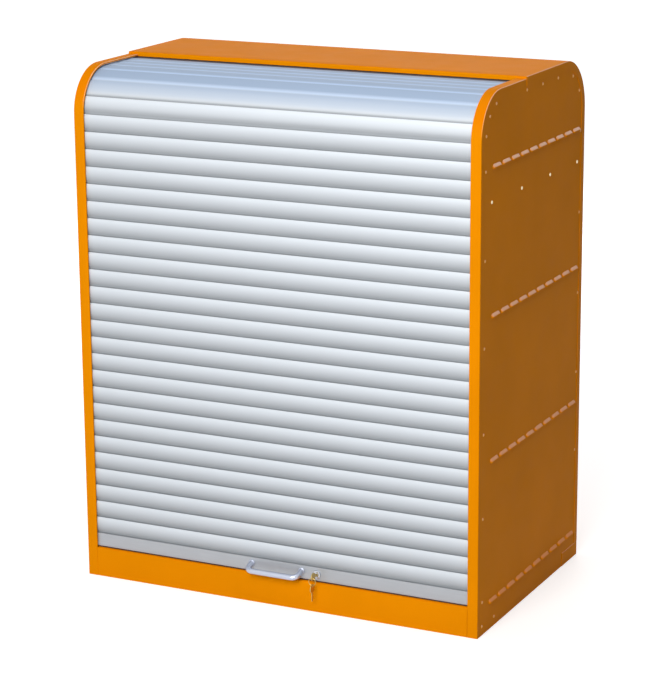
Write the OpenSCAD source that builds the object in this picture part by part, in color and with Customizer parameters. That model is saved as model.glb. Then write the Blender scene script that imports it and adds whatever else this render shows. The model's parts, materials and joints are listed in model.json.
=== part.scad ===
// Steel cabinet for hazardous materials, closed by a roller shutter of convex slats.
// +Z is up and the shutter faces -Y. The origin lies on the floor, below the middle of the outer box.

/* [Cabinet] */
// Width over the side panels
cabinet_w = 1000; // [800:10:1200]
// Depth from the front bands to the back panel
cabinet_d = 620; // [560:5:700]
// Height of the side panels and the front bands
side_h = 1210; // [1150:5:1400]
// Thickness of the painted steel sheet
sheet = 1.5; // [1.2:0.1:1.8]
// Outer radius of the front top corner
front_r = 105; // [98:1:120]
// Outer radius of the rear top corner
rear_r = 120; // [100:1:140]
// Gap left between pieces that do not touch
fit_gap = 0.3; // [0.2:0.05:0.4]

/* [Front bands and plinth] */
// Width of a front band, seen from the front
band_w = 25; // [24:0.5:32]
// Depth of the band's inner return behind the front face
band_return = 3.6; // [2.5:0.1:3.8]
// Length of the band that runs on under the top cover
band_under_cover = 30; // [10:1:60]
// Height of the plinth, which is the sill under the shutter
plinth_h = 70; // [66:1:90]
// How far the plinth lies behind the front bands
plinth_recess = 0.5; // [0.2:0.1:1]
// Depth of the plinth's top flange from its front
sill_d = 19.5; // [18:0.5:20]
// Height of the return that hangs from the rear edge of the sill
sill_return_h = 20; // [12:1:24]

/* [Top cover and back panel] */
// Distance of the cover's front lip behind the front face
cover_front = 251; // [230:1:300]
// How far the cover stands above the front bands
cover_proud = 5; // [4:0.5:8]
// Height of the cover's front lip
cover_lip_h = 10; // [8:0.5:10.5]
// Width of the flange that the cover and the back panel fold over the sides
flange_w = 20; // [12:1:22]
// Thickness of that flange
flange_t = 1.2; // [0.8:0.1:2]
// Width of the small plate at the rear foot of a side
corner_plate_w = 100; // [80:1:120]
// Height of that plate
corner_plate_h = 33; // [25:1:50]

/* [Guide rails] */
// Wall of the guide rail
rail_t = 1.5; // [1:0.1:1.8]
// Width of the rail's flanges, across the slat ends
rail_w = 21.5; // [18:0.5:21.5]
// How far the rail's web reaches in from the outline, for its rivets
rail_web_d = 34; // [31:1:40]
// Play between a rail flange and the slats' crest
rail_play = 0.6; // [0.4:0.1:0.8]

/* [Shutter] */
// How far the slats' crests lie behind the front face
curtain_recess = 6; // [5.9:0.1:8]
// Sheet thickness of a slat
slat_t = 0.9; // [0.7:0.05:1]
// Bulge of a slat between its edges
slat_bulge = 2.5; // [2:0.1:2.6]
// How much farther forward the upper edge of a slat stands than its lower edge
slat_lean = 3; // [2.6:0.1:3.4]
// Length of a slat's lower edge that hangs behind the slat below
slat_lap = 1.6; // [0.6:0.2:2]
// Gap above the upper edge of a slat
slat_gap = 0.4; // [0.3:0.05:0.6]
// Clearance between a slat's end and the rail's web
slat_end_gap = 3; // [2:0.5:6]
// Slats that lie round the curve and under the cover
upper_slats = 10; // [8:1:11]

/* [Bottom bar] */
// Height of the flat bar at the foot of the shutter
bar_h = 32.3; // [32:0.1:40]
// Wall of the bar
bar_t = 2; // [1.6:0.1:2.2]
// Depth of the bar
bar_d = 9; // [8:0.5:10]
// Height of the lip at the back of the bar
bar_lip_h = 6; // [4:0.5:7]
// Height of the rubber seal under the bar
seal_h = 2.4; // [1.5:0.1:4]
// Depth of the seal
seal_d = 6; // [4:0.5:6]
// Distance between the handle's two screws
handle_span = 128; // [96:4:160]
// Radius of the handle's round bar
handle_r = 6.5; // [4:0.25:6.5]
// Length of the handle's legs, from the bottom bar to the centre line of the round bar
handle_reach = 29; // [26:0.5:29]
// Downward lean of the handle's legs, in degrees
handle_lean = 18; // [0:1:20]
// Height of the handle's feet above the middle of the bottom bar
handle_raise = 2.5; // [0:0.5:4]
// Radius of the handle's bends, at the centre line
handle_bend_r = 14; // [10:1:18]
// Radius of the round foot at each end of the handle
handle_foot_r = 8; // [7.5:0.25:9]
// Thickness of that foot
handle_foot_t = 3; // [2:0.5:5]
// Shank radius of the handle screws
screw_r = 2; // [1.5:0.25:2.5]
// Head radius of the handle screws
screw_head_r = 3.5; // [3:0.25:5]
// Head height of the handle screws
screw_head_h = 2.4; // [1.5:0.1:3]
// Depth of the screws in the handle
screw_depth = 8; // [5:0.5:12]

/* [Lock] */
// Distance of the lock from the cabinet's middle
lock_x = 103; // [100:1:160]
// Radius of the lock's front flange
lock_flange_r = 10; // [9:0.25:12]
// Thickness of that flange
lock_flange_t = 5; // [3:0.5:6]
// Radius of the lock's threaded body
lock_body_r = 8; // [7:0.25:8.25]
// Length of the body behind the bar's face
lock_body_l = 15.5; // [15:0.1:16]
// Corner radius of the hexagon nut behind the bar
lock_nut_r = 12.5; // [10:0.25:13]
// Thickness of that nut
lock_nut_t = 3; // [2:0.5:4]
// Radius of the turning plug
plug_r = 5.5; // [5:0.25:6]
// Radial clearance of the plug in its bore
plug_play = 0.05; // [0.03:0.01:0.08]
// Radius of the plug's tail, which carries the cam
tail_r = 4; // [3:0.25:4.5]
// Thickness of the cam
cam_t = 2; // [1.5:0.1:2.5]
// Length of the cam from the plug's axis
cam_l = 28; // [25:0.5:32]
// Width of the cam's arm
cam_w = 12; // [8:0.5:14]
// Corner radius of the cam's nut
cam_nut_r = 6.5; // [6:0.25:8]
// Thickness of the cam's nut
cam_nut_t = 2.4; // [1.5:0.1:2.6]
// Width of the strike plate
strike_w = 50; // [40:1:70]
// Height of the strike plate
strike_h = 20; // [12:1:24]

/* [Keys] */
// Thickness of a key
key_t = 2; // [1.6:0.1:2.4]
// Width of a key's blade
key_blade_w = 6.2; // [5:0.2:7]
// Length of a key's blade, from the edge of the bow
key_blade_l = 20; // [16:0.5:20]
// Radius of a key's round bow
key_bow_r = 10; // [9:0.25:11]
// Gap between the lock's face and the bow
key_bow_gap = 4; // [3:0.5:6]
// Radius of the hole in the bow
key_hole_r = 2.5; // [2:0.1:3]
// Distance of that hole from the middle of the bow
key_hole_off = 6; // [5.5:0.25:6.5]
// Clearance of the blade in the keyway
key_play = 0.2; // [0.1:0.05:0.3]
// Depth of the notches in a blade
key_notch = 1.4; // [1:0.1:2]
// Radius of the key ring, at the middle of its wire
ring_r = 8.5; // [8:0.25:12]
// Radius of the ring's wire
ring_wire_r = 0.8; // [0.6:0.05:1]

/* [Louvres and rivets] */
// Louvres in a row
louvre_count = 10; // [6:1:10]
// Rows of louvres on a side
louvre_rows = 4; // [2:1:4]
// Height of the lowest row's lower edge
louvre_z0 = 61.5; // [58:0.5:90]
// Distance of the highest row's lower edge below the side's top
louvre_top_drop = 166; // [140:0.5:240]
// Distance of a row's first louvre behind the front face
louvre_y0 = 85.6; // [80:0.2:90]
// Distance of a row's last louvre in front of the rear edge
louvre_rear = 53.8; // [48:0.2:60]
// Length of a louvre
louvre_l = 44; // [30:1:46]
// Height of a louvre
louvre_h = 9; // [7:0.5:12]
// Height of the lip at a louvre's lower edge
louvre_lip_h = 3; // [2:0.5:4]
// How far a louvre stands out
louvre_out = 5; // [4:0.5:8]
// Wall of a louvre
louvre_t = 1; // [0.8:0.1:1.4]
// Radius of the painted rivet heads
rivet_r = 3.5; // [3:0.25:4.5]
// Height of the painted rivet heads
rivet_head_h = 1.2; // [0.8:0.1:2]
// Shank radius of every rivet
rivet_shank_r = 2; // [1.5:0.1:2.25]
// Distance of the painted rivets from the outline
rivet_inset = 25; // [22:0.5:27]
// Height of the lowest rivet of a column
rivet_z0 = 78; // [77:0.5:84]
// Distance of a column's highest rivet below the start of the front curve
rivet_top_drop = 62; // [55:1:90]
// Rivets in the front column
rivet_count = 6; // [4:1:7]
// Distance of the first rivet under the cover behind the cover's front lip
top_rivet_front = 5; // [4.5:0.5:20]
// Distance of the last rivet under the cover from the start of the rear curve
top_rivet_rear = 55; // [30:1:90]
// Height of the two rivets at the foot of a side
foot_rivet_z = 21; // [14:1:24]
// Distance between those two rivets
foot_rivet_pitch = 70; // [40:1:100]
// Radius of the bright rivet heads
bright_rivet_r = 4; // [3:0.25:5]
// Distance of the row of bright rivets below the side's top
bright_rivet_drop = 238; // [210:1:270]
// Bright rivets in the row
bright_rivet_count = 4; // [2:1:6]
// Distance of the first bright rivet behind the front face
bright_rivet_front = 60; // [50:1:75]
// Distance of the last bright rivet in front of the rear edge
bright_rivet_rear = 44; // [40:1:60]

/* [Inside] */
// Height of the base frame
base_h = 30; // [26:1:32]
// Width of the base frame's channels
base_w = 30; // [20:1:50]
// Wall of the base frame
base_t = 2; // [1.5:0.1:3]
// Height of the sump tray
sump_h = 36; // [20:1:38]
// Distance of the sump tray behind the front face
sump_front = 32; // [31:1:60]
// Play round the sump tray and the shelves
tray_play = 4; // [3:0.5:10]
// Sheet thickness of the trays
tray_t = 1.2; // [1:0.1:2]
// Height of the lower shelf
lower_shelf_z = 380; // [300:5:460]
// Height of the upper shelf
upper_shelf_z = 720; // [600:5:760]
// Height of a shelf's rim
shelf_rim_h = 30; // [15:1:50]
// Distance of the shelves behind the front face
shelf_front = 66; // [60:1:120]
// Depth of an upright from the side panel
upright_d = 15; // [12:0.5:24]
// Width of an upright
upright_w = 30; // [20:1:50]
// Height of the uprights above the floor pan
upright_h = 740; // [735:5:800]
// Height of a shelf bracket
bracket_h = 25; // [15:1:40]
// Width of the ledge on a shelf bracket
bracket_ledge = 28; // [15:1:50]
// Sheet thickness of the inner back
inner_back_t = 1.2; // [1:0.1:1.5]

/* [Hidden] */
slat_count = 25;
$fn = 64;

paint = [0.89, 0.53, 0.02];
silver = [0.80, 0.82, 0.86];
galvanised = [0.66, 0.68, 0.70];
chrome = [0.86, 0.87, 0.90];
brass = [0.72, 0.60, 0.30];
rubber = [0.08, 0.08, 0.08];

cut_over = 1;
slat_steps = 8;

// Places across the cabinet
half_w = cabinet_w / 2;
panel_in_x = half_w - sheet;
band_in_x = half_w - band_w;
rail_in_x = panel_in_x - rail_w;
web_in_x = panel_in_x - rail_t;
slat_half = web_in_x - slat_end_gap;
upright_in_x = panel_in_x - upright_d;
tray_half = upright_in_x - tray_play;

// Heights of the shutter
bar_z = plinth_h + fit_gap + seal_h;
bar_mid_z = bar_z + bar_h / 2;
handle_z = bar_mid_z + handle_raise;
strip_top = bar_z + bar_h;
curve_z = side_h - front_r;
slat_pitch = (curve_z - strip_top) / slat_count;

// Depths of the shutter, behind the front face
slat_peak = slat_bulge + slat_lean / 2 + slat_lean * slat_lean / (16 * slat_bulge);
slat_base_y = curtain_recess + slat_peak;
rail_flange_y = curtain_recess - rail_play - rail_t;
lap_drop = -slat_bow(-slat_lap / slat_pitch);
rail_inner_y = slat_base_y + lap_drop + slat_t + fit_gap;
bar_face_y = curtain_recess;
path_r = front_r - slat_base_y;
arc_length = path_r * PI / 2;
upper_start = 0.5;

// Depths of the lock, behind the front face
lock_face_y = bar_face_y - lock_flange_t;
lock_rear_y = bar_face_y + lock_body_l;
cam_y = lock_rear_y + fit_gap;
cam_nut_y = cam_y + cam_t;
tail_end_y = cam_nut_y + cam_nut_t + fit_gap;
sill_rear_y = plinth_recess + sill_d;
bow_y = lock_face_y - key_bow_gap - key_bow_r;
ring_y = bow_y - key_hole_off;
blade_in_y = bow_y + key_bow_r + key_blade_l;
wire_drop = key_hole_r - ring_wire_r - fit_gap;
ring_top_z = bar_mid_z - wire_drop;
ring_low_z = ring_top_z - 2 * ring_r;
spare_bow_z = ring_low_z - wire_drop - key_hole_off;

// The front face lies where the outer box, with the handle and the keys, is centred on the origin
handle_front = handle_reach * cos(handle_lean) + handle_r - bar_face_y;
keys_front = key_bow_r - ring_y;
front_reach = max(handle_front, keys_front);
front_y = -(cabinet_d - front_reach) / 2;

// Places inside
floor_z = base_h + sheet;
base_front = band_return + fit_gap;
inner_back_y = cabinet_d - rail_inner_y - rail_t - fit_gap - inner_back_t;
tray_rear = inner_back_y - tray_play;
rear_upright_y = cabinet_d - rail_web_d - fit_gap - upright_w;
cover_z = side_h + cover_proud;
cover_bend_z = cover_z - rear_r;

function slat_name(n) = str("slat_", n < 10 ? "0" : "", n);
function slat_bow(u) = 4 * slat_bulge * u * (1 - u) + slat_lean * u;

// Point at a distance along the slats' path, from the start of the front curve
function path_point(s) = s < arc_length
    ? [front_r - path_r * cos(s / path_r * 180 / PI), curve_z + path_r * sin(s / path_r * 180 / PI)]
    : [front_r + s - arc_length, side_h - slat_base_y];

// Louvres of a side
louvre_pitch = (cabinet_d - louvre_y0 - louvre_rear) / (louvre_count - 1);
louvre_row_pitch = (side_h - louvre_top_drop - louvre_z0) / (louvre_rows - 1);

// Rivets round a side, as [distance behind the front face, height]
function between(first, last, count) = [for (i = [0 : count - 1]) first + i * (last - first) / (count - 1)];
column_heights = between(rivet_z0, curve_z - rivet_top_drop, rivet_count);
front_column = [for (z = column_heights) [rivet_inset, z]];
rear_column = [for (i = [1 : rivet_count - 1]) [cabinet_d - rivet_inset, column_heights[i]]];
front_arc_angles = [10, 42, 72];
front_arc = [for (a = front_arc_angles)
    [front_r - (front_r - rivet_inset) * cos(a), curve_z + (front_r - rivet_inset) * sin(a)]];
rear_arc = [for (a = [30, 65])
    [cabinet_d - rear_r + (rear_r - rivet_inset) * cos(a),
     side_h - rear_r + (rear_r - rivet_inset) * sin(a)]];
top_row = [for (y = between(cover_front + top_rivet_front, cabinet_d - rear_r - top_rivet_rear, 3))
    [y, side_h - rivet_inset]];
rail_rivets = concat(front_column, front_arc, top_row, rear_arc, rear_column);
foot_rivets = [for (i = [0, 1]) [rivet_inset + i * foot_rivet_pitch, foot_rivet_z]];
bright_rivets = [for (y = between(bright_rivet_front, cabinet_d - bright_rivet_rear, bright_rivet_count))
    [y, side_h - bright_rivet_drop]];

// Moves from the front face's own place to the place in the part's frame
module in_place() {
    translate([0, front_y, 0]) children();
}

// Turns a piece of the right side into its mirror image on the left
module on_side(side) {
    mirror([side < 0 ? 1 : 0, 0, 0]) children();
}

module both_sides() {
    children();
    mirror([1, 0, 0]) children();
}

// A side view, drawn as [depth, height], thickened from x0 to x1
module side_extrude(x0, x1) {
    translate([x0, 0, 0]) rotate([90, 0, 90]) linear_extrude(x1 - x0) children();
}

// A cylinder from one depth to another
module along_y(y0, y1, r, fn = 64) {
    translate([0, y0, 0]) rotate([-90, 0, 0]) cylinder(h = y1 - y0, r = r, $fn = fn);
}

// What lies outside a round corner, dir -1 at the front and 1 at the rear
module corner_cut(y, z, r, dir) {
    difference() {
        translate([dir < 0 ? y - r - cut_over : y, z]) square(r + cut_over);
        translate([y, z]) circle(r = r);
    }
}

module side_outline(inset) {
    difference() {
        translate([inset, 0]) square([cabinet_d - 2 * inset, side_h - inset]);
        corner_cut(front_r, curve_z, front_r - inset, -1);
        corner_cut(cabinet_d - rear_r, side_h - rear_r, rear_r - inset, 1);
    }
}

module outline_ring(outer, inner) {
    difference() {
        side_outline(outer);
        side_outline(inner);
    }
}

// The bent top of the cover and what it folds over the sides
module cover_ring(inner) {
    intersection() {
        difference() {
            cover_outline(0);
            cover_outline(inner);
        }
        translate([cover_front, cover_bend_z]) square([cabinet_d, rear_r]);
    }
}

module cover_outline(inset) {
    difference() {
        square([cabinet_d - inset, cover_z - inset]);
        corner_cut(cabinet_d - rear_r, cover_bend_z, rear_r - inset, 1);
    }
}

module rivet_holes(points, r) {
    for (p = points)
        translate([panel_in_x - base_w, p[0], p[1]]) rotate([0, 90, 0]) cylinder(h = 2 * base_w, r = r);
}

module rivet(p, head_r, head_h, shank_l) {
    translate([half_w, p[0], p[1]]) rotate([0, 90, 0]) cylinder(h = head_h, r = head_r);
    translate([half_w - shank_l, p[0], p[1]]) rotate([0, 90, 0]) cylinder(h = shank_l, r = rivet_shank_r);
}

// Outline of a pressed louvre, drawn as [outward, height] from the panel's outer face
module louvre_outline() {
    polygon([[-sheet, 0], [-sheet, louvre_h], [0, louvre_h], [louvre_out, louvre_lip_h], [louvre_out, 0]]);
}

module louvre_hollow() {
    inner = louvre_out - louvre_t;
    top = louvre_h - louvre_t;
    polygon([[-sheet - cut_over, -cut_over], [-sheet - cut_over, top], [0, top],
             [inner, louvre_lip_h - louvre_t / 2], [inner, -cut_over]]);
}

module louvres(length) {
    for (row = [0 : louvre_rows - 1], i = [0 : louvre_count - 1])
        translate([half_w, louvre_y0 + i * louvre_pitch + length / 2, louvre_z0 + row * louvre_row_pitch])
            rotate([90, 0, 0]) linear_extrude(length) children();
}

module side_panel(side) {
    color(paint) on_side(side) in_place() difference() {
        union() {
            side_extrude(panel_in_x, half_w) side_outline(sheet);
            louvres(louvre_l) louvre_outline();
        }
        louvres(louvre_l - 2 * louvre_t) louvre_hollow();
        rivet_holes(concat(rail_rivets, foot_rivets, bright_rivets), rivet_shank_r);
    }
}

module front_band(side) {
    color(paint) on_side(side) in_place() intersection() {
        union() {
            side_extrude(band_in_x, half_w) outline_ring(0, sheet);
            side_extrude(band_in_x, band_in_x + sheet) outline_ring(sheet / 2, band_return);
        }
        side_extrude(0, half_w) square([cover_front + band_under_cover, side_h]);
    }
}

module guide_rail(side) {
    color(galvanised) on_side(side) in_place() difference() {
        intersection() {
            union() {
                side_extrude(web_in_x, panel_in_x) outline_ring(sheet + fit_gap, rail_web_d);
                side_extrude(rail_in_x, panel_in_x) outline_ring(rail_flange_y, rail_flange_y + rail_t);
                side_extrude(rail_in_x, panel_in_x) difference() {
                    outline_ring(rail_inner_y, rail_inner_y + rail_t);
                    square([front_r, curve_z + 2 * cut_over]);
                }
            }
            side_extrude(0, half_w) translate([0, plinth_h + fit_gap]) square([cabinet_d, side_h]);
        }
        rivet_holes(rail_rivets, rivet_shank_r);
    }
}

module top_cover() {
    wide = half_w + flange_t;
    color(paint) in_place() {
        side_extrude(-wide, wide) cover_ring(sheet);
        both_sides() side_extrude(half_w, wide) cover_ring(flange_w);
        side_extrude(-wide, wide) translate([cover_front, side_h]) square([sheet, cover_proud]);
        side_extrude(fit_gap - band_in_x, band_in_x - fit_gap)
            translate([cover_front, cover_z - cover_lip_h]) square([sheet, cover_lip_h]);
    }
}

module back_panel() {
    wide = half_w + flange_t;
    color(paint) in_place() {
        side_extrude(-wide, wide) translate([cabinet_d - sheet, 0]) square([sheet, cover_bend_z]);
        both_sides() side_extrude(half_w, wide)
            translate([cabinet_d - flange_w, corner_plate_h + fit_gap])
                square([flange_w, cover_bend_z - corner_plate_h - fit_gap]);
    }
}

module corner_plates() {
    color(paint) in_place() both_sides() side_extrude(half_w, half_w + flange_t)
        translate([cabinet_d - corner_plate_w, 0]) square([corner_plate_w - sheet, corner_plate_h]);
}

module inner_back() {
    color(galvanised) in_place() side_extrude(fit_gap - web_in_x, web_in_x - fit_gap)
        translate([inner_back_y, floor_z]) square([inner_back_t, side_h - rear_r - floor_z]);
}

module plinth() {
    color(paint) in_place() side_extrude(fit_gap - band_in_x, band_in_x - fit_gap)
        translate([plinth_recess, 0]) union() {
            square([sheet, plinth_h]);
            translate([0, plinth_h - sheet]) square([sill_d, sheet]);
            translate([sill_d - sheet, plinth_h - sill_return_h]) square([sheet, sill_return_h]);
        }
}

module base_frame() {
    y0 = base_front;
    y1 = cabinet_d - sheet;
    color(galvanised) in_place() difference() {
        box_across(panel_in_x, y0, y1, 0, base_h);
        box_across(panel_in_x - base_t, y0 + base_t, y1 - base_t, base_t, base_h - base_t);
        box_across(panel_in_x - base_w, y0 + base_w, y1 - base_w, -cut_over, base_h + cut_over);
        both_sides() rivet_holes(foot_rivets, rivet_shank_r);
    }
}

// A box that lies evenly across the cabinet's middle
module box_across(half, y0, y1, z0, z1) {
    translate([-half, y0, z0]) cube([2 * half, y1 - y0, z1 - z0]);
}

module floor_pan() {
    color(galvanised) in_place()
        box_across(panel_in_x, base_front, cabinet_d - sheet, base_h, floor_z);
}

module open_tray(y0, y1, z, h) {
    difference() {
        box_across(tray_half, y0, y1, z, z + h);
        box_across(tray_half - tray_t, y0 + tray_t, y1 - tray_t, z + tray_t, z + h + cut_over);
    }
}

module sump_tray() {
    color(galvanised) in_place() open_tray(sump_front, tray_rear, floor_z, sump_h);
}

module shelf(z) {
    color(galvanised) in_place() open_tray(shelf_front, tray_rear, z, shelf_rim_h);
}

module shelf_uprights() {
    color(galvanised) in_place() both_sides() for (y = [shelf_front, rear_upright_y])
        translate([upright_in_x, y, floor_z]) difference() {
            cube([upright_d, upright_w, upright_h]);
            translate([sheet, sheet, -cut_over])
                cube([upright_d, upright_w - 2 * sheet, upright_h + 2 * cut_over]);
        }
}

module shelf_brackets() {
    color(galvanised) in_place() both_sides() for (z = [lower_shelf_z, upper_shelf_z])
        translate([0, shelf_front, z]) {
            translate([upright_in_x - sheet, 0, -bracket_h])
                cube([sheet, tray_rear - shelf_front, bracket_h]);
            translate([upright_in_x - bracket_ledge, 0, -sheet])
                cube([bracket_ledge - sheet / 2, tray_rear - shelf_front, sheet]);
        }
}

// Cross section of a slat, drawn as [depth, height] from its lower outer edge
module slat_section(lap) {
    u0 = -lap / slat_pitch;
    u1 = 1 - slat_gap / slat_pitch;
    us = [for (i = [0 : slat_steps]) u0 + (u1 - u0) * i / slat_steps];
    outer = [for (u = us) [-slat_bow(u), u * slat_pitch]];
    inner = [for (i = [slat_steps : -1 : 0]) outer[i] + [slat_t, 0]];
    polygon(concat(outer, inner));
}

module slat(n) {
    color(silver) in_place() side_extrude(-slat_half, slat_half)
        translate([slat_base_y, strip_top + (n - 1) * slat_pitch]) slat_section(slat_lap);
}

module upper_curtain() {
    color(silver) in_place() for (j = [0 : upper_slats - 1]) {
        start = path_point(upper_start + j * slat_pitch);
        step = path_point(upper_start + (j + 1) * slat_pitch) - start;
        side_extrude(-slat_half, slat_half)
            translate(start) rotate(-atan2(step[0], step[1])) slat_section(j == 0 ? 0 : slat_lap);
    }
}

module side_rivets() {
    color(chrome) in_place() both_sides() for (p = bright_rivets)
        rivet(p, bright_rivet_r, rivet_head_h, sheet);
}

module frame_rivets() {
    color(paint) in_place() both_sides() {
        for (p = rail_rivets) rivet(p, rivet_r, rivet_head_h, sheet + rail_t);
        for (p = foot_rivets) rivet(p, rivet_r, rivet_head_h, sheet + base_t);
    }
}

module strike_plate() {
    color(galvanised) in_place()
        translate([lock_x - strike_w / 2, sill_rear_y, plinth_h - sheet - fit_gap - strike_h])
            cube([strike_w, sheet, strike_h]);
}

// Moves to the lock's axis, at the height of the bar's middle
module at_lock() {
    in_place() translate([lock_x, 0, bar_mid_z]) children();
}

module handle_ends() {
    for (x = [-handle_span / 2, handle_span / 2])
        translate([x, 0, handle_z]) children();
}

module bottom_bar() {
    color(silver) in_place() difference() {
        side_extrude(-slat_half, slat_half) translate([bar_face_y, bar_z]) union() {
            square([bar_t, bar_h]);
            square([bar_d, bar_t]);
            translate([bar_d - bar_t, 0]) square([bar_t, bar_lip_h]);
        }
        translate([lock_x, 0, bar_mid_z])
            along_y(bar_face_y - cut_over, bar_face_y + bar_t + cut_over, lock_body_r);
        handle_ends() along_y(bar_face_y - cut_over, bar_face_y + bar_t + cut_over, screw_r);
    }
}

module bar_seal() {
    color(rubber) in_place() side_extrude(fit_gap - band_in_x, band_in_x - fit_gap)
        translate([bar_face_y + bar_t, plinth_h + fit_gap]) square([seal_d, seal_h]);
}

module handle() {
    straight = handle_span / 2 - handle_bend_r;
    behind = 3 * handle_r;
    color(chrome) in_place() difference() {
        union() {
            difference() {
                translate([0, bar_face_y, handle_z]) rotate([handle_lean, 0, 0]) {
                    translate([-straight, -handle_reach, 0]) rotate([0, 90, 0])
                        cylinder(h = 2 * straight, r = handle_r);
                    both_sides() translate([straight, handle_bend_r - handle_reach, 0]) rotate([0, 0, -90])
                        rotate_extrude(angle = 90) translate([handle_bend_r, 0]) circle(r = handle_r);
                    both_sides() translate([handle_span / 2, handle_bend_r - handle_reach, 0])
                        rotate([-90, 0, 0]) cylinder(h = handle_reach - handle_bend_r + handle_r, r = handle_r);
                }
                translate([-handle_span, bar_face_y, handle_z - behind])
                    cube([2 * handle_span, behind, 2 * behind]);
            }
            handle_ends() along_y(bar_face_y - handle_foot_t, bar_face_y, handle_foot_r);
        }
        handle_ends() along_y(bar_face_y - screw_depth - cut_over, bar_face_y + cut_over, screw_r);
    }
}

module handle_screws() {
    inside = bar_face_y + bar_t;
    color(galvanised) in_place() handle_ends() {
        along_y(bar_face_y - screw_depth, inside, screw_r);
        along_y(inside, inside + screw_head_h, screw_head_r);
    }
}

module lock_housing() {
    color(chrome) at_lock() difference() {
        union() {
            along_y(lock_face_y, bar_face_y, lock_flange_r);
            along_y(bar_face_y, lock_rear_y, lock_body_r);
        }
        along_y(lock_face_y - cut_over, lock_rear_y + cut_over, plug_r + plug_play);
    }
}

module lock_nut() {
    inside = bar_face_y + bar_t;
    color(galvanised) at_lock() difference() {
        along_y(inside, inside + lock_nut_t, lock_nut_r, 6);
        along_y(inside - cut_over, inside + lock_nut_t + cut_over, lock_body_r);
    }
}

module lock_plug() {
    wide = key_t + 2 * key_play;
    tall = key_blade_w + 2 * key_play;
    deep = blade_in_y + key_bow_gap / 4;
    color(chrome) at_lock() difference() {
        union() {
            along_y(lock_face_y, lock_rear_y, plug_r);
            along_y(lock_rear_y - cut_over, tail_end_y, tail_r);
        }
        translate([-wide / 2, lock_face_y - cut_over, -tall / 2])
            cube([wide, deep - lock_face_y + cut_over, tall]);
    }
}

// The cam points level while the shutter is free, and turns down behind the sill
module lock_cam() {
    color(galvanised) at_lock() difference() {
        union() {
            along_y(cam_y, cam_y + cam_t, cam_w / 2 + cut_over);
            translate([cam_w / 2 - cam_l, cam_y, -cam_w / 2]) cube([cam_l - cam_w / 2, cam_t, cam_w]);
            translate([cam_w / 2 - cam_l, 0, 0]) along_y(cam_y, cam_y + cam_t, cam_w / 2);
        }
        along_y(cam_y - cut_over, cam_y + cam_t + cut_over, tail_r);
    }
}

module cam_nut() {
    color(galvanised) at_lock() difference() {
        along_y(cam_nut_y, cam_nut_y + cam_nut_t, cam_nut_r, 6);
        along_y(cam_nut_y - cut_over, cam_nut_y + cam_nut_t + cut_over, tail_r);
    }
}

// A key with the middle of its bow at the origin and its blade along +Y
module plain_key() {
    color(brass) difference() {
        union() {
            translate([-key_t / 2, 0, 0]) rotate([0, 90, 0]) cylinder(h = key_t, r = key_bow_r);
            translate([-key_t / 2, 0, -key_blade_w / 2])
                cube([key_t, key_bow_r + key_blade_l, key_blade_w]);
        }
        translate([-key_t, -key_hole_off, 0]) rotate([0, 90, 0]) cylinder(h = 2 * key_t, r = key_hole_r);
        for (i = [1 : 3])
            translate([-key_t, key_bow_r + key_blade_l - i * 4, -key_blade_w / 2 - key_notch])
                cube([2 * key_t, key_notch, 2 * key_notch]);
    }
}

module key() {
    at_lock() translate([0, bow_y, 0]) plain_key();
}

module spare_key() {
    in_place() translate([lock_x, ring_y, spare_bow_z]) rotate([-90, 0, 0]) plain_key();
}

module key_ring() {
    color(chrome) in_place() translate([lock_x, ring_y, ring_top_z - ring_r]) rotate([90, 0, 0])
        rotate_extrude() translate([ring_r, 0]) circle(r = ring_wire_r, $fn = 24);
}

side_panel(-1);  // side_panel_left
side_panel(1);  // side_panel_right
front_band(-1);  // front_band_left
front_band(1);  // front_band_right
guide_rail(-1);  // guide_rail_left
guide_rail(1);  // guide_rail_right
top_cover();
back_panel();
inner_back();
corner_plates();
plinth();
base_frame();
floor_pan();
sump_tray();
shelf(lower_shelf_z);  // shelf_lower
shelf(upper_shelf_z);  // shelf_upper
shelf_uprights();
shelf_brackets();
upper_curtain();
side_rivets();
frame_rivets();
strike_plate();
bottom_bar();
bar_seal();
handle();
handle_screws();
lock_housing();
lock_nut();
lock_plug();
lock_cam();
cam_nut();
key();
key_ring();
spare_key();
for (n = [1 : slat_count]) slat(n);
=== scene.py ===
import json
import math

import bmesh
import bpy
from bpy.props import FloatProperty, FloatVectorProperty, IntProperty, PointerProperty
from mathutils import Matrix, Vector

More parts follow.
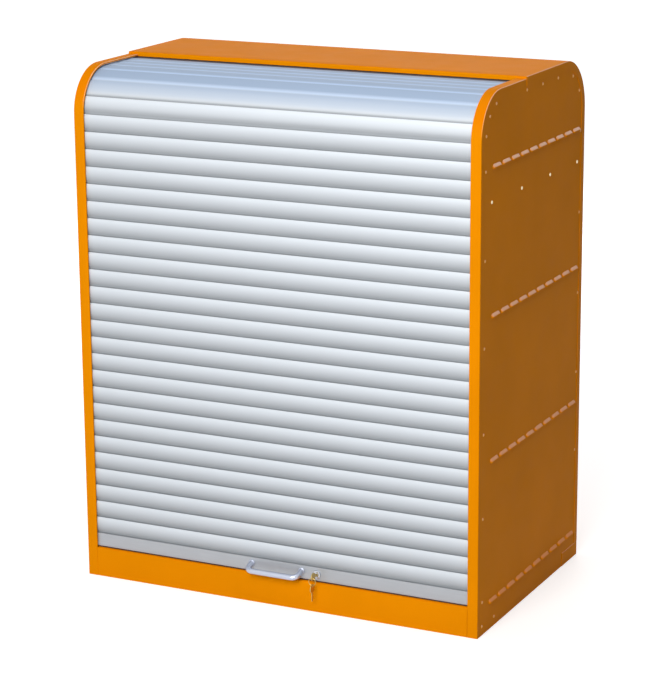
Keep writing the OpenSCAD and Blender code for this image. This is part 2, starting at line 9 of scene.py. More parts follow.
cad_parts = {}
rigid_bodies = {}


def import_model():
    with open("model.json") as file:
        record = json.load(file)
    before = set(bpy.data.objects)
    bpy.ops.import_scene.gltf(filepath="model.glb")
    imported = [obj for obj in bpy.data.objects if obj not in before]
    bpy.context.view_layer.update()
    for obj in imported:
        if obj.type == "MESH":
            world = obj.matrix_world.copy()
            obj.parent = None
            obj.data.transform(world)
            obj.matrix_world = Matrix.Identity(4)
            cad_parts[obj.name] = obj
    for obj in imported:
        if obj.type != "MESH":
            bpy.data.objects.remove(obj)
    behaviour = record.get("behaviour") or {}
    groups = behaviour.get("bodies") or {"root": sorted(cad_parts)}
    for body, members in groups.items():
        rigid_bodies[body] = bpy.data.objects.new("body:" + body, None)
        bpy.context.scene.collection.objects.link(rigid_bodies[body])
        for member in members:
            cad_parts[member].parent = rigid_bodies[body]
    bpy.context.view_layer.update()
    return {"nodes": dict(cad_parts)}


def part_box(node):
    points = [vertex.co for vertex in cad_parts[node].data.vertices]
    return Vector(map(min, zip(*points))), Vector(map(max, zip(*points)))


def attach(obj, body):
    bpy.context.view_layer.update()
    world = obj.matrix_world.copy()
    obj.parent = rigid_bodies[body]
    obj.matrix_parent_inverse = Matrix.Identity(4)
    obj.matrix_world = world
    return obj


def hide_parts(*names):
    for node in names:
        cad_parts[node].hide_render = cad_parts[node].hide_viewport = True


bl_info = {
    "name": "Hazardous Materials Cabinet",
    "version": (1, 0, 0),
    "blender": (4, 5, 0),
    "location": "3D View > Sidebar > Cabinet",
    "description": "Dresses the packed steel cabinet: paint, slats, louvres, lock and stage",
    "category": "Add Mesh",
}

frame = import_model()

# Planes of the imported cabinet. A depth in the settings counts from FRONT_Y to the back.
FRONT_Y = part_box("front_band_right")[0][1]
HALF_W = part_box("front_band_right")[1][0]
SIDE_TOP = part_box("front_band_right")[1][2]
REAR_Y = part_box("back_panel")[1][1]
COVER_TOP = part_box("top_cover")[1][2]
PLATE_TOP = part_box("corner_plates")[1][2]
SLAT_NODES = sorted(node for node in frame["nodes"] if node.startswith("slat_"))
SIDES = {"left": -1, "right": 1}


# ---- Settings ----

def length(name, text, default):
    return FloatProperty(name=name, description=text, default=default, min=0.0, unit="LENGTH",
                         precision=4)


def share(name, text, default):
    return FloatProperty(name=name, description=text, default=default, min=0.0, max=1.0,
                         subtype="FACTOR")


def angle(name, text, degrees):
    return FloatProperty(name=name, description=text, default=math.radians(degrees),
                         subtype="ANGLE")


def number(name, text, default):
    return FloatProperty(name=name, description=text, default=default, min=0.0)


def count(name, text, default):
    return IntProperty(name=name, description=text, default=default, min=1)


def colour(name, text, *screen):
    """A colour property whose default is written as screen values from 0 to 255."""
    linear = [v / 12.92 if v <= 0.04045 else ((v + 0.055) / 1.055) ** 2.4
              for v in (value / 255 for value in screen)]
    return FloatVectorProperty(name=name, description=text, default=linear, size=3, min=0.0,
                               max=1.0, subtype="COLOR")


class CarcassSizes(bpy.types.PropertyGroup):
    front_radius: length("Front radius", "Outer radius of the round front top corner", 0.105)
    rear_radius: length("Rear radius", "Outer radius of the round rear top corner", 0.120)
    sheet: length("Sheet", "Thickness of the painted sheet steel", 0.0015)
    edge_radius: length("Edge radius", "Radius of the folds in the sheet steel", 0.0016)
    band_width: length("Band width", "Width of a front band", 0.025)
    band_return: length("Band return", "Depth of the band's inner fold", 0.0036)
    band_end: length("Band end", "Depth at which a band ends", 0.281)
    cover_front: length("Cover front", "Depth at which the cover begins", 0.251)
    cover_lip: length("Cover lip", "Height of the cover's front lip", 0.010)
    flange: length("Flange", "Width of the folds over the sides", 0.020)
    flange_sheet: length("Flange sheet", "Sheet thickness of the folds over the sides", 0.0012)
    plinth_height: length("Plinth height", "Height of the plinth", 0.070)
    plinth_recess: length("Plinth recess", "How far the plinth lies behind the bands", 0.0005)
    plinth_fold: length("Plinth fold", "Radius of the plinth's folds", 0.0018)
    sill_depth: length("Sill depth", "Depth of the fold on top of the plinth", 0.0195)
    sill_return: length("Sill return", "Height of the fold behind the sill", 0.020)
    gap: length("Gap", "Gap between pieces that don't touch", 0.0003)


class ShutterSizes(bpy.types.PropertyGroup):
    pitch: length("Pitch", "Height that each slat covers", 0.040)
    crown: length("Crown", "How far a slat's crest stands before its lower edge", 0.0042)
    crest: share("Crest", "Where the crest lies, as a share of the pitch", 0.64)
    upper_drop: length("Upper drop", "How far the upper edge lies behind the crest", 0.0012)
    curl: number("Curl", "How sharply the lower edge curls in", 2.7)
    thickness: length("Thickness", "Sheet thickness of a slat", 0.0006)
    lap: length("Lap", "How far the lower edge hangs behind the slat below", 0.0016)
    slat_gap: length("Slat gap", "Gap above the upper edge", 0.0004)
    half_width: length("Half width", "Half of a slat's length", 0.494)
    base: length("Base", "Depth of the lower edges", 0.010225)
    first: length("First slat", "Height of the lowest slat's lower edge", 0.105)
    upper_count: count("Upper slats", "Slats round the curve and under the cover", 10)
    upper_start: length("Upper start", "Where these start after the straight run", 0.0005)
    bar_face: length("Bar face", "Depth of the bottom bar's face", 0.006)
    bar_bottom: length("Bar bottom", "Height of the bottom bar's underside", 0.0727)
    bar_depth: length("Bar depth", "Depth of the bottom bar itself", 0.009)
    bar_wall: length("Bar wall", "Wall of the bottom bar", 0.002)
    bar_lip: length("Bar lip", "Height of the lip at the back of the bar", 0.006)
    bar_fold: length("Bar fold", "Radius of the bar's folds", 0.0012)
    bar_edge: length("Bar edge", "Eased edge of the bar", 0.0004)


class LouvreSizes(bpy.types.PropertyGroup):
    columns: count("Columns", "Louvres in a row", 10)
    rows: count("Rows", "Rows on a side", 4)
    first_y: length("First louvre", "Depth of the first louvre's middle", 0.0856)
    first_z: length("Lowest row", "Height of the lowest row's lower edge", 0.0615)
    pitch: length("Pitch", "Distance between louvres", 0.0534)
    row_pitch: length("Row pitch", "Distance between rows", 0.3275)
    length: length("Length", "Length of a louvre", 0.044)
    height: length("Height", "Height of a louvre", 0.009)
    out: length("Stand out", "How far a louvre stands out", 0.005)
    wall: length("Wall", "Wall of the pressed hood", 0.0008)
    round_end: share("Round end", "Part of the half length that a rounded end takes", 0.26)


class RivetSizes(bpy.types.PropertyGroup):
    radius: length("Painted head", "Radius of the painted rivet heads", 0.0035)
    bright_radius: length("Bright head", "Radius of the bright rivet heads", 0.004)
    height: length("Head height", "Height of the heads", 0.0012)
    inset: length("Inset", "Distance of the painted rivets from the outline", 0.025)
    upright_count: count("Upright rivets", "Painted rivets up the front edge of a side", 6)
    lowest: length("Lowest", "Height of the lowest of these", 0.078)
    below_bend: length("Below the bend", "From the highest of these to the front bend", 0.062)
    top_count: count("Top rivets", "Painted rivets along the top edge", 3)
    top_front: length("Top front", "From the cover's front to the first of these", 0.005)
    top_rear: length("Top rear", "From the last of these to the rear bend", 0.055)
    foot_height: length("Foot height", "Height of the two rivets at the front foot", 0.021)
    foot_pitch: length("Foot pitch", "Distance between these two", 0.070)
    bright_count: count("Bright rivets", "Rivets in the bright row", 4)
    bright_drop: length("Bright drop", "From the side's top to the bright row", 0.238)
    bright_front: length("Bright front", "Depth of the first bright rivet", 0.060)
    bright_rear: length("Bright rear", "From the last bright rivet to the back", 0.044)


class HandleSizes(bpy.types.PropertyGroup):
    span: length("Span", "Distance between the two screws", 0.128)
    reach: length("Reach", "From the bar to the rod's centre line, along a leg", 0.029)
    lean: angle("Lean", "Downward lean of the legs", 18)
    raised: length("Raised", "Height of the feet above the bar's middle", 0.0025)
    bend: length("Bend", "Radius of the bends", 0.014)
    rod: length("Rod", "Radius of the round rod", 0.0065)
    foot: length("Foot", "Radius of the round feet", 0.008)
    foot_height: length("Foot height", "Height of the feet", 0.003)
    middle: length("Middle height", "Height of the bar's middle, where the lock sits", 0.08885)
    lock_x: length("Lock place", "Distance of the lock from the cabinet's middle", 0.103)
    lock_face: length("Lock face", "Depth of the lock's face", 0.001)
    lock_flange: length("Lock flange", "Radius of the lock's flange", 0.010)
    lock_barrel: length("Lock barrel", "Radius of the lock's barrel", 0.008)
    lock_length: length("Barrel length", "Length of the barrel behind the flange", 0.0155)
    lock_bore: length("Lock bore", "Radius of the bore round the plug", 0.00555)


class Finishes(bpy.types.PropertyGroup):
    paint: colour("Paint", "Orange powder coat", 228, 137, 0)
    # Painted shade: a redder tone for faces that tilt up, standing in for how light falls on them
    painted_top_shade: colour("Paint on top", "The same coat where it faces the ceiling", 230, 126, 0)
    # Painted highlight: the rivet colour is paler than the paint to stand in for the light on the
    # domes
    rivet: colour("Painted rivet", "Thin powder coat over the rivets", 255, 190, 96)
    # Painted highlight on the louvres' upper faces and on upper folds
    painted_highlight: colour("Louvre top", "Paler bloom on the louvres' upper faces", 255, 184, 126)
    silver: colour("Silver", "Silver coat of the slats", 212, 219, 227)
    # Painted sky reflection: a bluer tone where a slat faces up
    painted_sky_silver: colour("Upper silver", "The same coat where it faces the ceiling", 182, 203, 232)
    bar: colour("Bar", "Brushed aluminium of the bottom bar", 173, 177, 183)
    handle: colour("Handle", "Satin anodised handle", 190, 196, 213)
    galvanised: colour("Galvanised", "Galvanised steel inside", 178, 183, 186)
    aluminium: colour("Aluminium", "Extruded guide rails", 190, 193, 197)
    zinc: colour("Zinc", "Zinc plated fittings", 190, 192, 186)
    chrome: colour("Chrome", "Chrome of the lock", 196, 199, 207)
    brass: colour("Brass", "Nickel brass of the keys", 196, 168, 96)
    bright: colour("Bright rivet", "Yellow zinc of the bright rivets", 255, 236, 190)
    rubber: colour("Rubber", "Black rubber of the seal", 26, 26, 27)
    floor: colour("Floor", "Pale floor", 212, 212, 212)


class StageSettings(bpy.types.PropertyGroup):
    lens: number("Lens", "Focal length in millimetres", 130.74)
    distance: length("Distance", "From the camera to its target", 5.4255)
    target_x: length("Target across", "Camera's target, right of the cabinet's middle", 0.1432)
    target_z: length("Target height", "Height of the camera's target", 0.6468)
    yaw: angle("Yaw", "Camera's turn to the right", 26.114)
    pitch: angle("Pitch", "Camera's rise", 14.631)
    roll: angle("Roll", "Camera's roll", -0.415)
    key: number("Key light", "Power of the light before the cabinet, in watts", 190.0)
    ceiling: number("Ceiling light", "Power of the light overhead", 35.0)
    rear: number("Rear light", "Power of the light behind the cabinet", 80.0)
    left: number("Left light", "Power of the light to the left", 64.0)
    room: number("Room light", "Strength of the even room light", 0.12)
    floor_glow: share("Floor glow", "How far the floor near the cabinet is lifted to white", 0.60)
    far_glow: share("Far glow", "The same far away, where no lamp reaches", 0.96)
    floor_half: length("Floor half", "Half of the floor's side", 40.0)


GROUPS = {"cabinet_carcass": CarcassSizes, "cabinet_shutter": ShutterSizes,
          "cabinet_louvres": LouvreSizes, "cabinet_rivets": RivetSizes,
          "cabinet_handle": HandleSizes, "cabinet_finishes": Finishes,
          "cabinet_stage": StageSettings}


def settings(part):
    return getattr(bpy.context.scene, f"cabinet_{part}")


# ---- Node trees ----

class Value:
    """A node's output that takes part in Python sums."""

    def __init__(self, tree, socket):
        self.tree, self.socket = tree, socket

    def sum(self, operation, *terms):
        return self.tree.add("ShaderNodeMath", {"operation": operation}, dict(enumerate(terms)))

    def __add__(self, other): return self.sum("ADD", self, other)
    def __radd__(self, other): return self.sum("ADD", other, self)
    def __sub__(self, other): return self.sum("SUBTRACT", self, other)
    def __rsub__(self, other): return self.sum("SUBTRACT", other, self)
    def __mul__(self, other): return self.sum("MULTIPLY", self, other)
    def __rmul__(self, other): return self.sum("MULTIPLY", other, self)
    def __truediv__(self, other): return self.sum("DIVIDE", self, other)
    def __rtruediv__(self, other): return self.sum("DIVIDE", other, self)
    def __pow__(self, other): return self.sum("POWER", self, other)
    def __rpow__(self, other): return self.sum("POWER", other, self)
    def above(self, other): return self.sum("GREATER_THAN", self, other)
    def highest(self, other): return self.sum("MAXIMUM", self, other)
    def slant(self, other): return self.sum("ARCTAN2", self, other)
    def whole(self): return self.sum("FLOOR", self)

    def between(self, low, high):
        """0 at low and 1 at high, and no further."""
        return self.tree.add("ShaderNodeMapRange", {"clamp": True}, {0: self, 1: low, 2: high})


class Tree:
    """Adds nodes to a node tree."""

    def __init__(self, nodes):
        self.nodes = nodes

    def node(self, kind, options=None, values=None, **named):
        """A node with its options, and values or links for numbered and for named sockets."""
        node = self.nodes.nodes.new(kind)
        for key, option in (options or {}).items():
            setattr(node, key, option)
        for key, value in (values or {}).items():
            self.feed(node.inputs[key], value)
        for key, value in named.items():
            self.feed(node.inputs[key.replace("_", " ")], value)
        return node

    def feed(self, target, value):
        if isinstance(value, Value):
            self.nodes.links.new(value.socket, target)
        else:
            target.default_value = value

    def add(self, kind, options=None, values=None, out=0, **named):
        """The output of such a node."""
        return Value(self, self.node(kind, options, values, **named).outputs[out])

    def axes(self, vector):
        """The x, y and z of a vector."""
        node = self.node("ShaderNodeSeparateXYZ", Vector=vector)
        return [Value(self, output) for output in node.outputs]

    def seen_directly(self):
        """1 for the camera, mirrors and glass, and 0 for light that is gathered softly."""
        path = self.node("ShaderNodeLightPath")
        camera, mirror, glass = [Value(self, path.outputs[f"Is {ray} Ray"])
                                 for ray in ("Camera", "Glossy", "Transmission")]
        return camera.highest(mirror).highest(glass)


class Shader(Tree):
    """A material's node tree around one Principled shader."""

    def __init__(self, name, **constants):
        self.material = bpy.data.materials.new(name)
        self.material.use_nodes = True
        super().__init__(self.material.node_tree)
        self.nodes.nodes.clear()
        self.principled = self.node("ShaderNodeBsdfPrincipled", **constants)
        self.end = self.node("ShaderNodeOutputMaterial")
        self.nodes.links.new(self.principled.outputs[0], self.end.inputs[0])

    def set(self, socket, value):
        self.feed(self.principled.inputs[socket], value)

    def place(self):
        """Where a point lies on the cabinet."""
        return self.add("ShaderNodeTexCoord", out="Object")

    def facing(self):
        """Which way the surface faces, as x, y and z."""
        return self.axes(self.add("ShaderNodeNewGeometry", out="Normal"))

    def noise(self, size, stretch=(1, 1, 1), detail=2.0):
        """Noise from 0 to 1 whose patches are about size metres."""
        spot = self.add("ShaderNodeMapping", Vector=self.place(), Scale=stretch)
        return self.add("ShaderNodeTexNoise", Vector=spot, Scale=1 / size, Detail=detail)

    def mix(self, factor, low, high):
        """A colour from low to high, each of them a colour or a link."""
        node = self.node("ShaderNodeMix", {"data_type": "RGBA"}, {0: factor})
        for socket, tint in ((6, low), (7, high)):
            self.feed(node.inputs[socket], tint if isinstance(tint, Value) else (*tint[:3], 1.0))
        return Value(self, node.outputs[2])

    def bump(self, height, depth, strength, **under):
        return self.add("ShaderNodeBump", Height=height, Distance=depth, Strength=strength,
                        **under)

    def dress(self, base, rough, *bump, **under):
        """Sets the colour, the roughness and the bump, and gives the material."""
        self.set("Base Color", base)
        self.set("Roughness", rough)
        self.set("Normal", self.bump(*bump, **under))
        return self.material


def floats(*labels):
    return dict.fromkeys(labels, "Float")


def values_of(group, *labels):
    """The values of settings, under the labels that a tree's inputs have."""
    return {label: getattr(group, label.lower().replace(" ", "_")) for label in labels}


class Maker(Tree):
    """A Geometry Nodes tree with named inputs."""

    def __init__(self, name, inputs):
        group = bpy.data.node_groups.new(name, "GeometryNodeTree")
        super().__init__(group)

        def socket(label, kind, way="INPUT"):
            return group.interface.new_socket(
                name=label, in_out=way, socket_type=f"NodeSocket{kind}").identifier

        socket("Geometry", "Geometry")
        self.ids = {label: socket(label, kind)
                    for label, kind in {**inputs, "Material": "Material"}.items()}
        socket("Geometry", "Geometry", "OUTPUT")
        self.source = self.node("NodeGroupInput")

    def given(self, *labels):
        """The tree's inputs under these labels."""
        found = [Value(self, self.source.outputs[label]) for label in labels]
        return found if len(labels) > 1 else found[0]

    def given_shape(self, label):
        return self.add("GeometryNodeObjectInfo", Object=self.given(label), out="Geometry")

    def vector(self, x=0.0, y=0.0, z=0.0):
        return self.add("ShaderNodeCombineXYZ", X=x, Y=y, Z=z)

    def index(self):
        return self.add("GeometryNodeInputIndex")

    def position(self):
        return self.axes(self.add("GeometryNodeInputPosition"))

    def store(self, geometry, name, value):
        return self.add("GeometryNodeStoreNamedAttribute",
                        {"data_type": "FLOAT", "domain": "POINT"}, Geometry=geometry, Name=name,
                        Value=value)

    def stored(self, name):
        return self.add("GeometryNodeInputNamedAttribute", {"data_type": "FLOAT"}, Name=name)

    def rectangle(self, width, height):
        return self.add("GeometryNodeCurvePrimitiveQuadrilateral", {"mode": "RECTANGLE"},
                        Width=width, Height=height)

    def rounded(self, line, radius, steps, **limit):
        return self.add("GeometryNodeFilletCurve", {"mode": "POLY"}, Curve=line, Radius=radius,
                        Count=steps, **limit)

    def cyclic(self, line, closed):
        return self.add("GeometryNodeSetSplineCyclic", Geometry=line, Cyclic=closed)

    def open_path(self, corners, radius, steps):
        """An open line through four corners in the XY plane, rounded by a radius."""
        square = self.add("GeometryNodeCurvePrimitiveQuadrilateral", {"mode": "POINTS"}, {
            f"Point {index + 1}": corner for index, corner in enumerate(corners)})
        return self.rounded(self.cyclic(square, False), radius, steps, Limit_Radius=True)

    def side_view(self, inset, steps):
        """The cabinet's outline seen from the side, from the front foot to the rear foot."""
        deep, high, front, rear = self.given(*SIDE_INPUTS)
        corners = [self.vector(inset, 0.0), self.vector(inset, high - inset),
                   self.vector(deep - inset, high - inset), self.vector(deep - inset, 0.0)]
        at_rear = self.index().above(1.5)
        return self.open_path(corners, front - inset + at_rear * (rear - front), steps)

    def sweep(self, path, profile):
        return self.add("GeometryNodeCurveToMesh", Curve=path, Profile_Curve=profile,
                        Fill_Caps=True)

    def points(self, number, place):
        return self.add("GeometryNodePoints", Count=number, Position=place)

    def on_points(self, points, shape, turn=(0, 0, 0)):
        return self.add("GeometryNodeInstanceOnPoints", Points=points, Instance=shape,
                        Rotation=turn)

    def moved(self, geometry, shift=(0, 0, 0), turn=(0, 0, 0)):
        return self.add("GeometryNodeTransform", Geometry=geometry, Translation=shift,
                        Rotation=turn)

    def join(self, *parts):
        node = self.node("GeometryNodeJoinGeometry")
        for part in parts:
            self.nodes.links.new(part.socket, node.inputs[0])
        return Value(self, node.outputs[0])

    def upright(self, geometry):
        """Turns the side view from the XY plane to its place on the cabinet."""
        return self.moved(geometry, (0, FRONT_Y, 0), (math.pi / 2, 0, math.pi / 2))

    def close(self, geometry):
        """Ends the tree in plain geometry with the given material."""
        solid = self.add("GeometryNodeRealizeInstances", Geometry=geometry)
        dressed = self.add("GeometryNodeSetMaterial", Geometry=solid,
                           Material=self.given("Material"))
        self.nodes.links.new(dressed.socket, self.node("NodeGroupOutput").inputs[0])
        return self


SIDE_INPUTS = floats("Depth", "Height", "Front Radius", "Rear Radius")
SLAT_INPUTS = floats("Pitch", "Crown", "Crest", "Upper Drop", "Curl", "Thickness", "Lap",
                     "Slat Gap", "Half Width", "Base")
SLAT_STEPS = 22          # points up a slat's section
CURVE_STEPS = 64         # points on a bend that the upper slats follow
OUTLINE_STEPS = 24       # points on a bend of the sides and bands
FOLD_STEPS = 5           # points on a fold of the plinth and the bottom bar
BOW_STEPS, ROD_STEPS = 14, 28    # points on a bend of the handle and round its rod


def outline_strip_maker():
    """A strip with a given cross section that follows the outline from the front foot."""
    maker = Maker("outline_strip", {**SIDE_INPUTS, **floats("End"), "Section": "Object"})
    trimmed = maker.add("GeometryNodeTrimCurve", {"mode": "LENGTH"},
                        {"Curve": maker.side_view(0.0, OUTLINE_STEPS), 4: 0.0,
                         5: maker.given("End")})
    return maker.close(maker.upright(maker.sweep(trimmed, maker.given_shape("Section"))))


def louvred_plate_maker():
    """The side sheet with a slot behind each louvre, and the pressed hoods on it."""
    maker = Maker("louvred_plate", {
        **SIDE_INPUTS, "Columns": "Int", "Rows": "Int", "Hood": "Object",
        **floats("Sheet", "First Y", "First Z", "Pitch", "Row Pitch", "Slot Length",
                 "Slot Height", "Outer X")})
    sheet, outer, long, high = maker.given("Sheet", "Outer X", "Slot Length", "Slot Height")
    columns, rows, pitch, row_pitch = maker.given("Columns", "Rows", "Pitch", "Row Pitch")
    first_y, first_z = maker.given("First Y", "First Z")

    index = maker.index()
    row = (index / columns).whole()
    spots = maker.points(columns * rows, maker.vector(
        first_y + (index - row * columns) * pitch, first_z + row * row_pitch))
    slot = maker.rounded(maker.rectangle(long, high), high * 0.3, 3)
    slot = maker.add("GeometryNodeSetPosition", Geometry=slot,
                     Offset=maker.vector(0.0, high * 0.5))
    slots = maker.add("GeometryNodeRealizeInstances", Geometry=maker.on_points(spots, slot))

    rim = maker.cyclic(maker.side_view(sheet, OUTLINE_STEPS), True)
    face = maker.add("GeometryNodeFillCurve", {"mode": "TRIANGLES"}, Curve=maker.join(rim, slots))
    raised = maker.add("GeometryNodeExtrudeMesh", {"mode": "FACES"}, Mesh=face,
                       Offset=(0.0, 0.0, 1.0), Offset_Scale=sheet, Individual=False)
    under = maker.add("GeometryNodeFlipFaces", Mesh=face)
    plate = maker.add("GeometryNodeMergeByDistance", Geometry=maker.join(raised, under),
                      Distance=1e-5)
    plate = maker.moved(plate, maker.vector(z=outer - sheet))
    hoods = maker.moved(maker.on_points(spots, maker.given_shape("Hood")), maker.vector(z=outer))
    return maker.close(maker.upright(maker.join(plate, hoods)))


def slat_body(maker):
    """One convex slat, its lower outer edge on the X axis and its face towards -Y.

    Each point keeps its share of the pitch as "rise", which the silver coat reads.
    """
    pitch, crown, crest, drop, curl, thick, lap, gap, half, _ = maker.given(*SLAT_INPUTS)
    line = maker.add("GeometryNodeCurvePrimitiveLine", Start=maker.vector(0.0 - lap),
                     End=maker.vector(pitch - gap))
    line = maker.add("GeometryNodeResampleCurve", Curve=line, Count=SLAT_STEPS)
    rise = maker.position()[0] / pitch
    line = maker.store(line, "rise", rise)
    below = ((crest - rise) / crest).highest(0.0)
    beyond = ((rise - crest) / (1.0 - crest)).highest(0.0)
    bow = crown * (1.0 - below ** curl) - drop * beyond * beyond
    line = maker.add("GeometryNodeSetPosition", Geometry=line,
                     Offset=maker.vector(0.0, bow - thick * 0.5))
    return maker.moved(maker.sweep(line, maker.rectangle(thick, half * 2.0)),
                       turn=(0, -math.pi / 2, math.pi))


def slat_maker():
    """A slat of the shutter at its height on the front."""
    maker = Maker("shutter_slat", {**SLAT_INPUTS, **floats("Rise")})
    base, rise = maker.given("Base", "Rise")
    return maker.close(maker.moved(slat_body(maker), maker.vector(0.0, base + FRONT_Y, rise)))


def curtain_maker():
    """The slats that follow the round corner and run on under the cover."""
    maker = Maker("upper_curtain", {**SIDE_INPUTS, **SLAT_INPUTS, **floats("First"),
                                    "Slats": "Int"})
    pitch, base, first, slats = maker.given("Pitch", "Base", "First", "Slats")
    path = maker.side_view(base, CURVE_STEPS)

    def spot(step):
        return maker.add("GeometryNodeSampleCurve", {"mode": "LENGTH"}, Curves=path,
                         Length=first + (maker.index() + step) * pitch, out="Position")

    here, there = spot(0), spot(1)
    points = maker.points(slats, here)
    chord = maker.add("ShaderNodeVectorMath", {"operation": "SUBTRACT"}, {0: there, 1: here})
    deep, high, _ = maker.axes(chord)
    points = maker.store(points, "lean", deep.slant(high))
    deep, high, _ = maker.position()
    points = maker.add("GeometryNodeSetPosition", Geometry=points,
                       Position=maker.vector(0.0, deep + FRONT_Y, high))
    return maker.close(maker.on_points(points, slat_body(maker),
                                       maker.vector(0.0 - maker.stored("lean"))))


def folded_sheet_maker():
    """A sheet folded along four corners of a side view, straight across the cabinet."""
    corners = [f"Corner {index}" for index in range(1, 5)]
    maker = Maker("folded_sheet", {**dict.fromkeys(corners, "Vector"),
                                   **floats("Fold", "Thickness", "Half Width")})
    fold, thick, half = maker.given("Fold", "Thickness", "Half Width")
    path = maker.open_path(maker.given(*corners), fold, FOLD_STEPS)
    return maker.close(maker.upright(maker.sweep(path, maker.rectangle(thick, half * 2.0))))


HANDLE_INPUTS = floats("Span", "Reach", "Bend", "Rod", "Lean")
INTO_FEET = 0.001        # how far the rod runs into its feet


def bow_handle_maker():
    """A round rod bent into a bow, its two ends on the bar."""
    maker = Maker("bow_handle", {**HANDLE_INPUTS, "Middle": "Vector"})
    span, reach, bend, rod, lean = maker.given(*HANDLE_INPUTS)
    side = span * 0.5
    corners = [maker.vector(0.0 - side, -INTO_FEET), maker.vector(0.0 - side, 0.0 - reach),
               maker.vector(side, 0.0 - reach), maker.vector(side, -INTO_FEET)]
    ring = maker.add("GeometryNodeCurvePrimitiveCircle", Resolution=ROD_STEPS, Radius=rod)
    bow = maker.sweep(maker.open_path(corners, bend, BOW_STEPS), ring)
    return maker.close(maker.moved(bow, maker.given("Middle"), maker.vector(lean)))


def rivet_maker():
    """One head on each point, turned outwards by the point's own turn."""
    maker = Maker("rivet_heads", {"Head": "Object"})
    return maker.close(maker.on_points(maker.given("Geometry"), maker.given_shape("Head"),
                                       maker.vector(0.0, 0.0, maker.stored("turn"))))


# ---- Meshes ----

WELD = 1e-6              # points of a new mesh that lie closer than this become one
CAD_WELD = 2e-6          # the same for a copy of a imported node
# An edge stays sharp where its faces meet at more than this many degrees
FOLDED, COPIED, BENT, PRESSED = 30, 35, 40, 50


def new_object(name, data):
    made = bpy.data.objects.new(name, data)
    bpy.context.collection.objects.link(made)
    return made


def remove(made):
    bpy.data.objects.remove(made, do_unlink=True)


def mesh_of(name, points, faces, material=None):
    mesh = bpy.data.meshes.new(name)
    mesh.from_pydata([tuple(point) for point in points], [], faces)
    if material:
        mesh.materials.append(material)
    return mesh


def plain(made):
    """Replaces an object's mesh by what its modifiers make of it."""
    bpy.context.view_layer.update()
    ready = made.evaluated_get(bpy.context.evaluated_depsgraph_get())
    mesh = bpy.data.meshes.new_from_object(ready)
    made.modifiers.clear()
    made.data = mesh
    mesh.name = made.name
    return made


def grow(name, maker, material, values, points=None):
    """Runs a Geometry Nodes tree on a new object and keeps the result as a plain mesh."""
    made = new_object(name, points or bpy.data.meshes.new(name))
    tree = made.modifiers.new("tree", "NODES")
    tree.node_group = maker.nodes
    for label, value in {**values, "Material": material}.items():
        tree[maker.ids[label]] = value
    plain(made)
    if not made.data.polygons:
        raise RuntimeError(f"the tree made nothing for {name}")
    return made


def shade(made, degrees):
    """Smooth faces, with an edge kept sharp where they meet at more than this angle."""
    mesh = made.data
    mesh.polygons.foreach_set("use_smooth", [True] * len(mesh.polygons))
    mesh.set_sharp_from_angle(angle=math.radians(degrees))
    return made


def clean(mesh, outwards=True):
    work = bmesh.new()
    work.from_mesh(mesh)
    bmesh.ops.remove_doubles(work, verts=work.verts, dist=WELD)
    if outwards:
        bmesh.ops.recalc_face_normals(work, faces=work.faces)
    work.to_mesh(mesh)
    work.free()


def mirror(made, sign):
    """Turns a right-hand piece into a left-hand one where the sign asks for it."""
    if sign < 0:
        made.data.transform(Matrix.Scale(-1, 4, (1, 0, 0)))
        made.data.flip_normals()


def bevelled(made, width):
    bevel = made.modifiers.new("edges", "BEVEL")
    bevel.width, bevel.segments, bevel.limit_method = width, 1, "ANGLE"
    bevel.angle_limit = math.radians(BENT)
    return plain(made)


def walled(made, thickness, offset):
    wall = made.modifiers.new("wall", "SOLIDIFY")
    wall.thickness, wall.offset = thickness, offset
    return plain(made)


def from_rings(name, rings, material, closed=True):
    """A mesh through rings of points: closed rings run round and get caps, open ones don't."""
    size = len(rings[0])
    faces = []
    for step in range(len(rings) - 1):
        for spot in range(size if closed else size - 1):
            after = (spot + 1) % size
            low, high = step * size, (step + 1) * size
            faces.append((low + spot, low + after, high + after, high + spot))
    if closed:
        last = (len(rings) - 1) * size
        faces += [tuple(range(size))[::-1], tuple(range(last, last + size))]
    mesh = mesh_of(name, [point for ring in rings for point in ring], faces, material)
    clean(mesh)
    return new_object(name, mesh)


def lathe(name, outline, material, middle, steps=48, axis="Y"):
    """A turned piece: outline holds (radius, distance along the axis) pairs."""
    rings = []
    for radius, far in outline:
        ring = []
        for step in range(steps):
            turn = 2 * math.pi * step / steps
            across, up = radius * math.cos(turn), radius * math.sin(turn)
            spot = (across, far, up) if axis == "Y" else (far, across, up)
            ring.append(Vector(middle) + Vector(spot))
        rings.append(ring)
    return from_rings(name, rings, material)


def section_curve(name, points):
    """A closed flat curve through points, used as a cross section and removed afterwards."""
    curve = bpy.data.curves.new(name, "CURVE")
    curve.dimensions = "3D"
    spline = curve.splines.new("POLY")
    spline.points.add(len(points) - 1)
    for target, (across, up) in zip(spline.points, points):
        target.co = (across, up, 0.0, 1.0)
    spline.use_cyclic_u = True
    return new_object(name, curve)


def evenly(first, last, number):
    return [first + (last - first) * step / (number - 1) for step in range(number)]


def on_circle(middle, radius, turns):
    """Points round a middle, at turns in degrees."""
    return [(middle[0] + radius * math.cos(math.radians(turn)),
             middle[1] + radius * math.sin(math.radians(turn))) for turn in turns]


def arc(middle, radius, start, end, steps=4):
    """Points on a round corner, from one angle in degrees to another."""
    return on_circle(middle, radius, evenly(start, end, steps + 1))


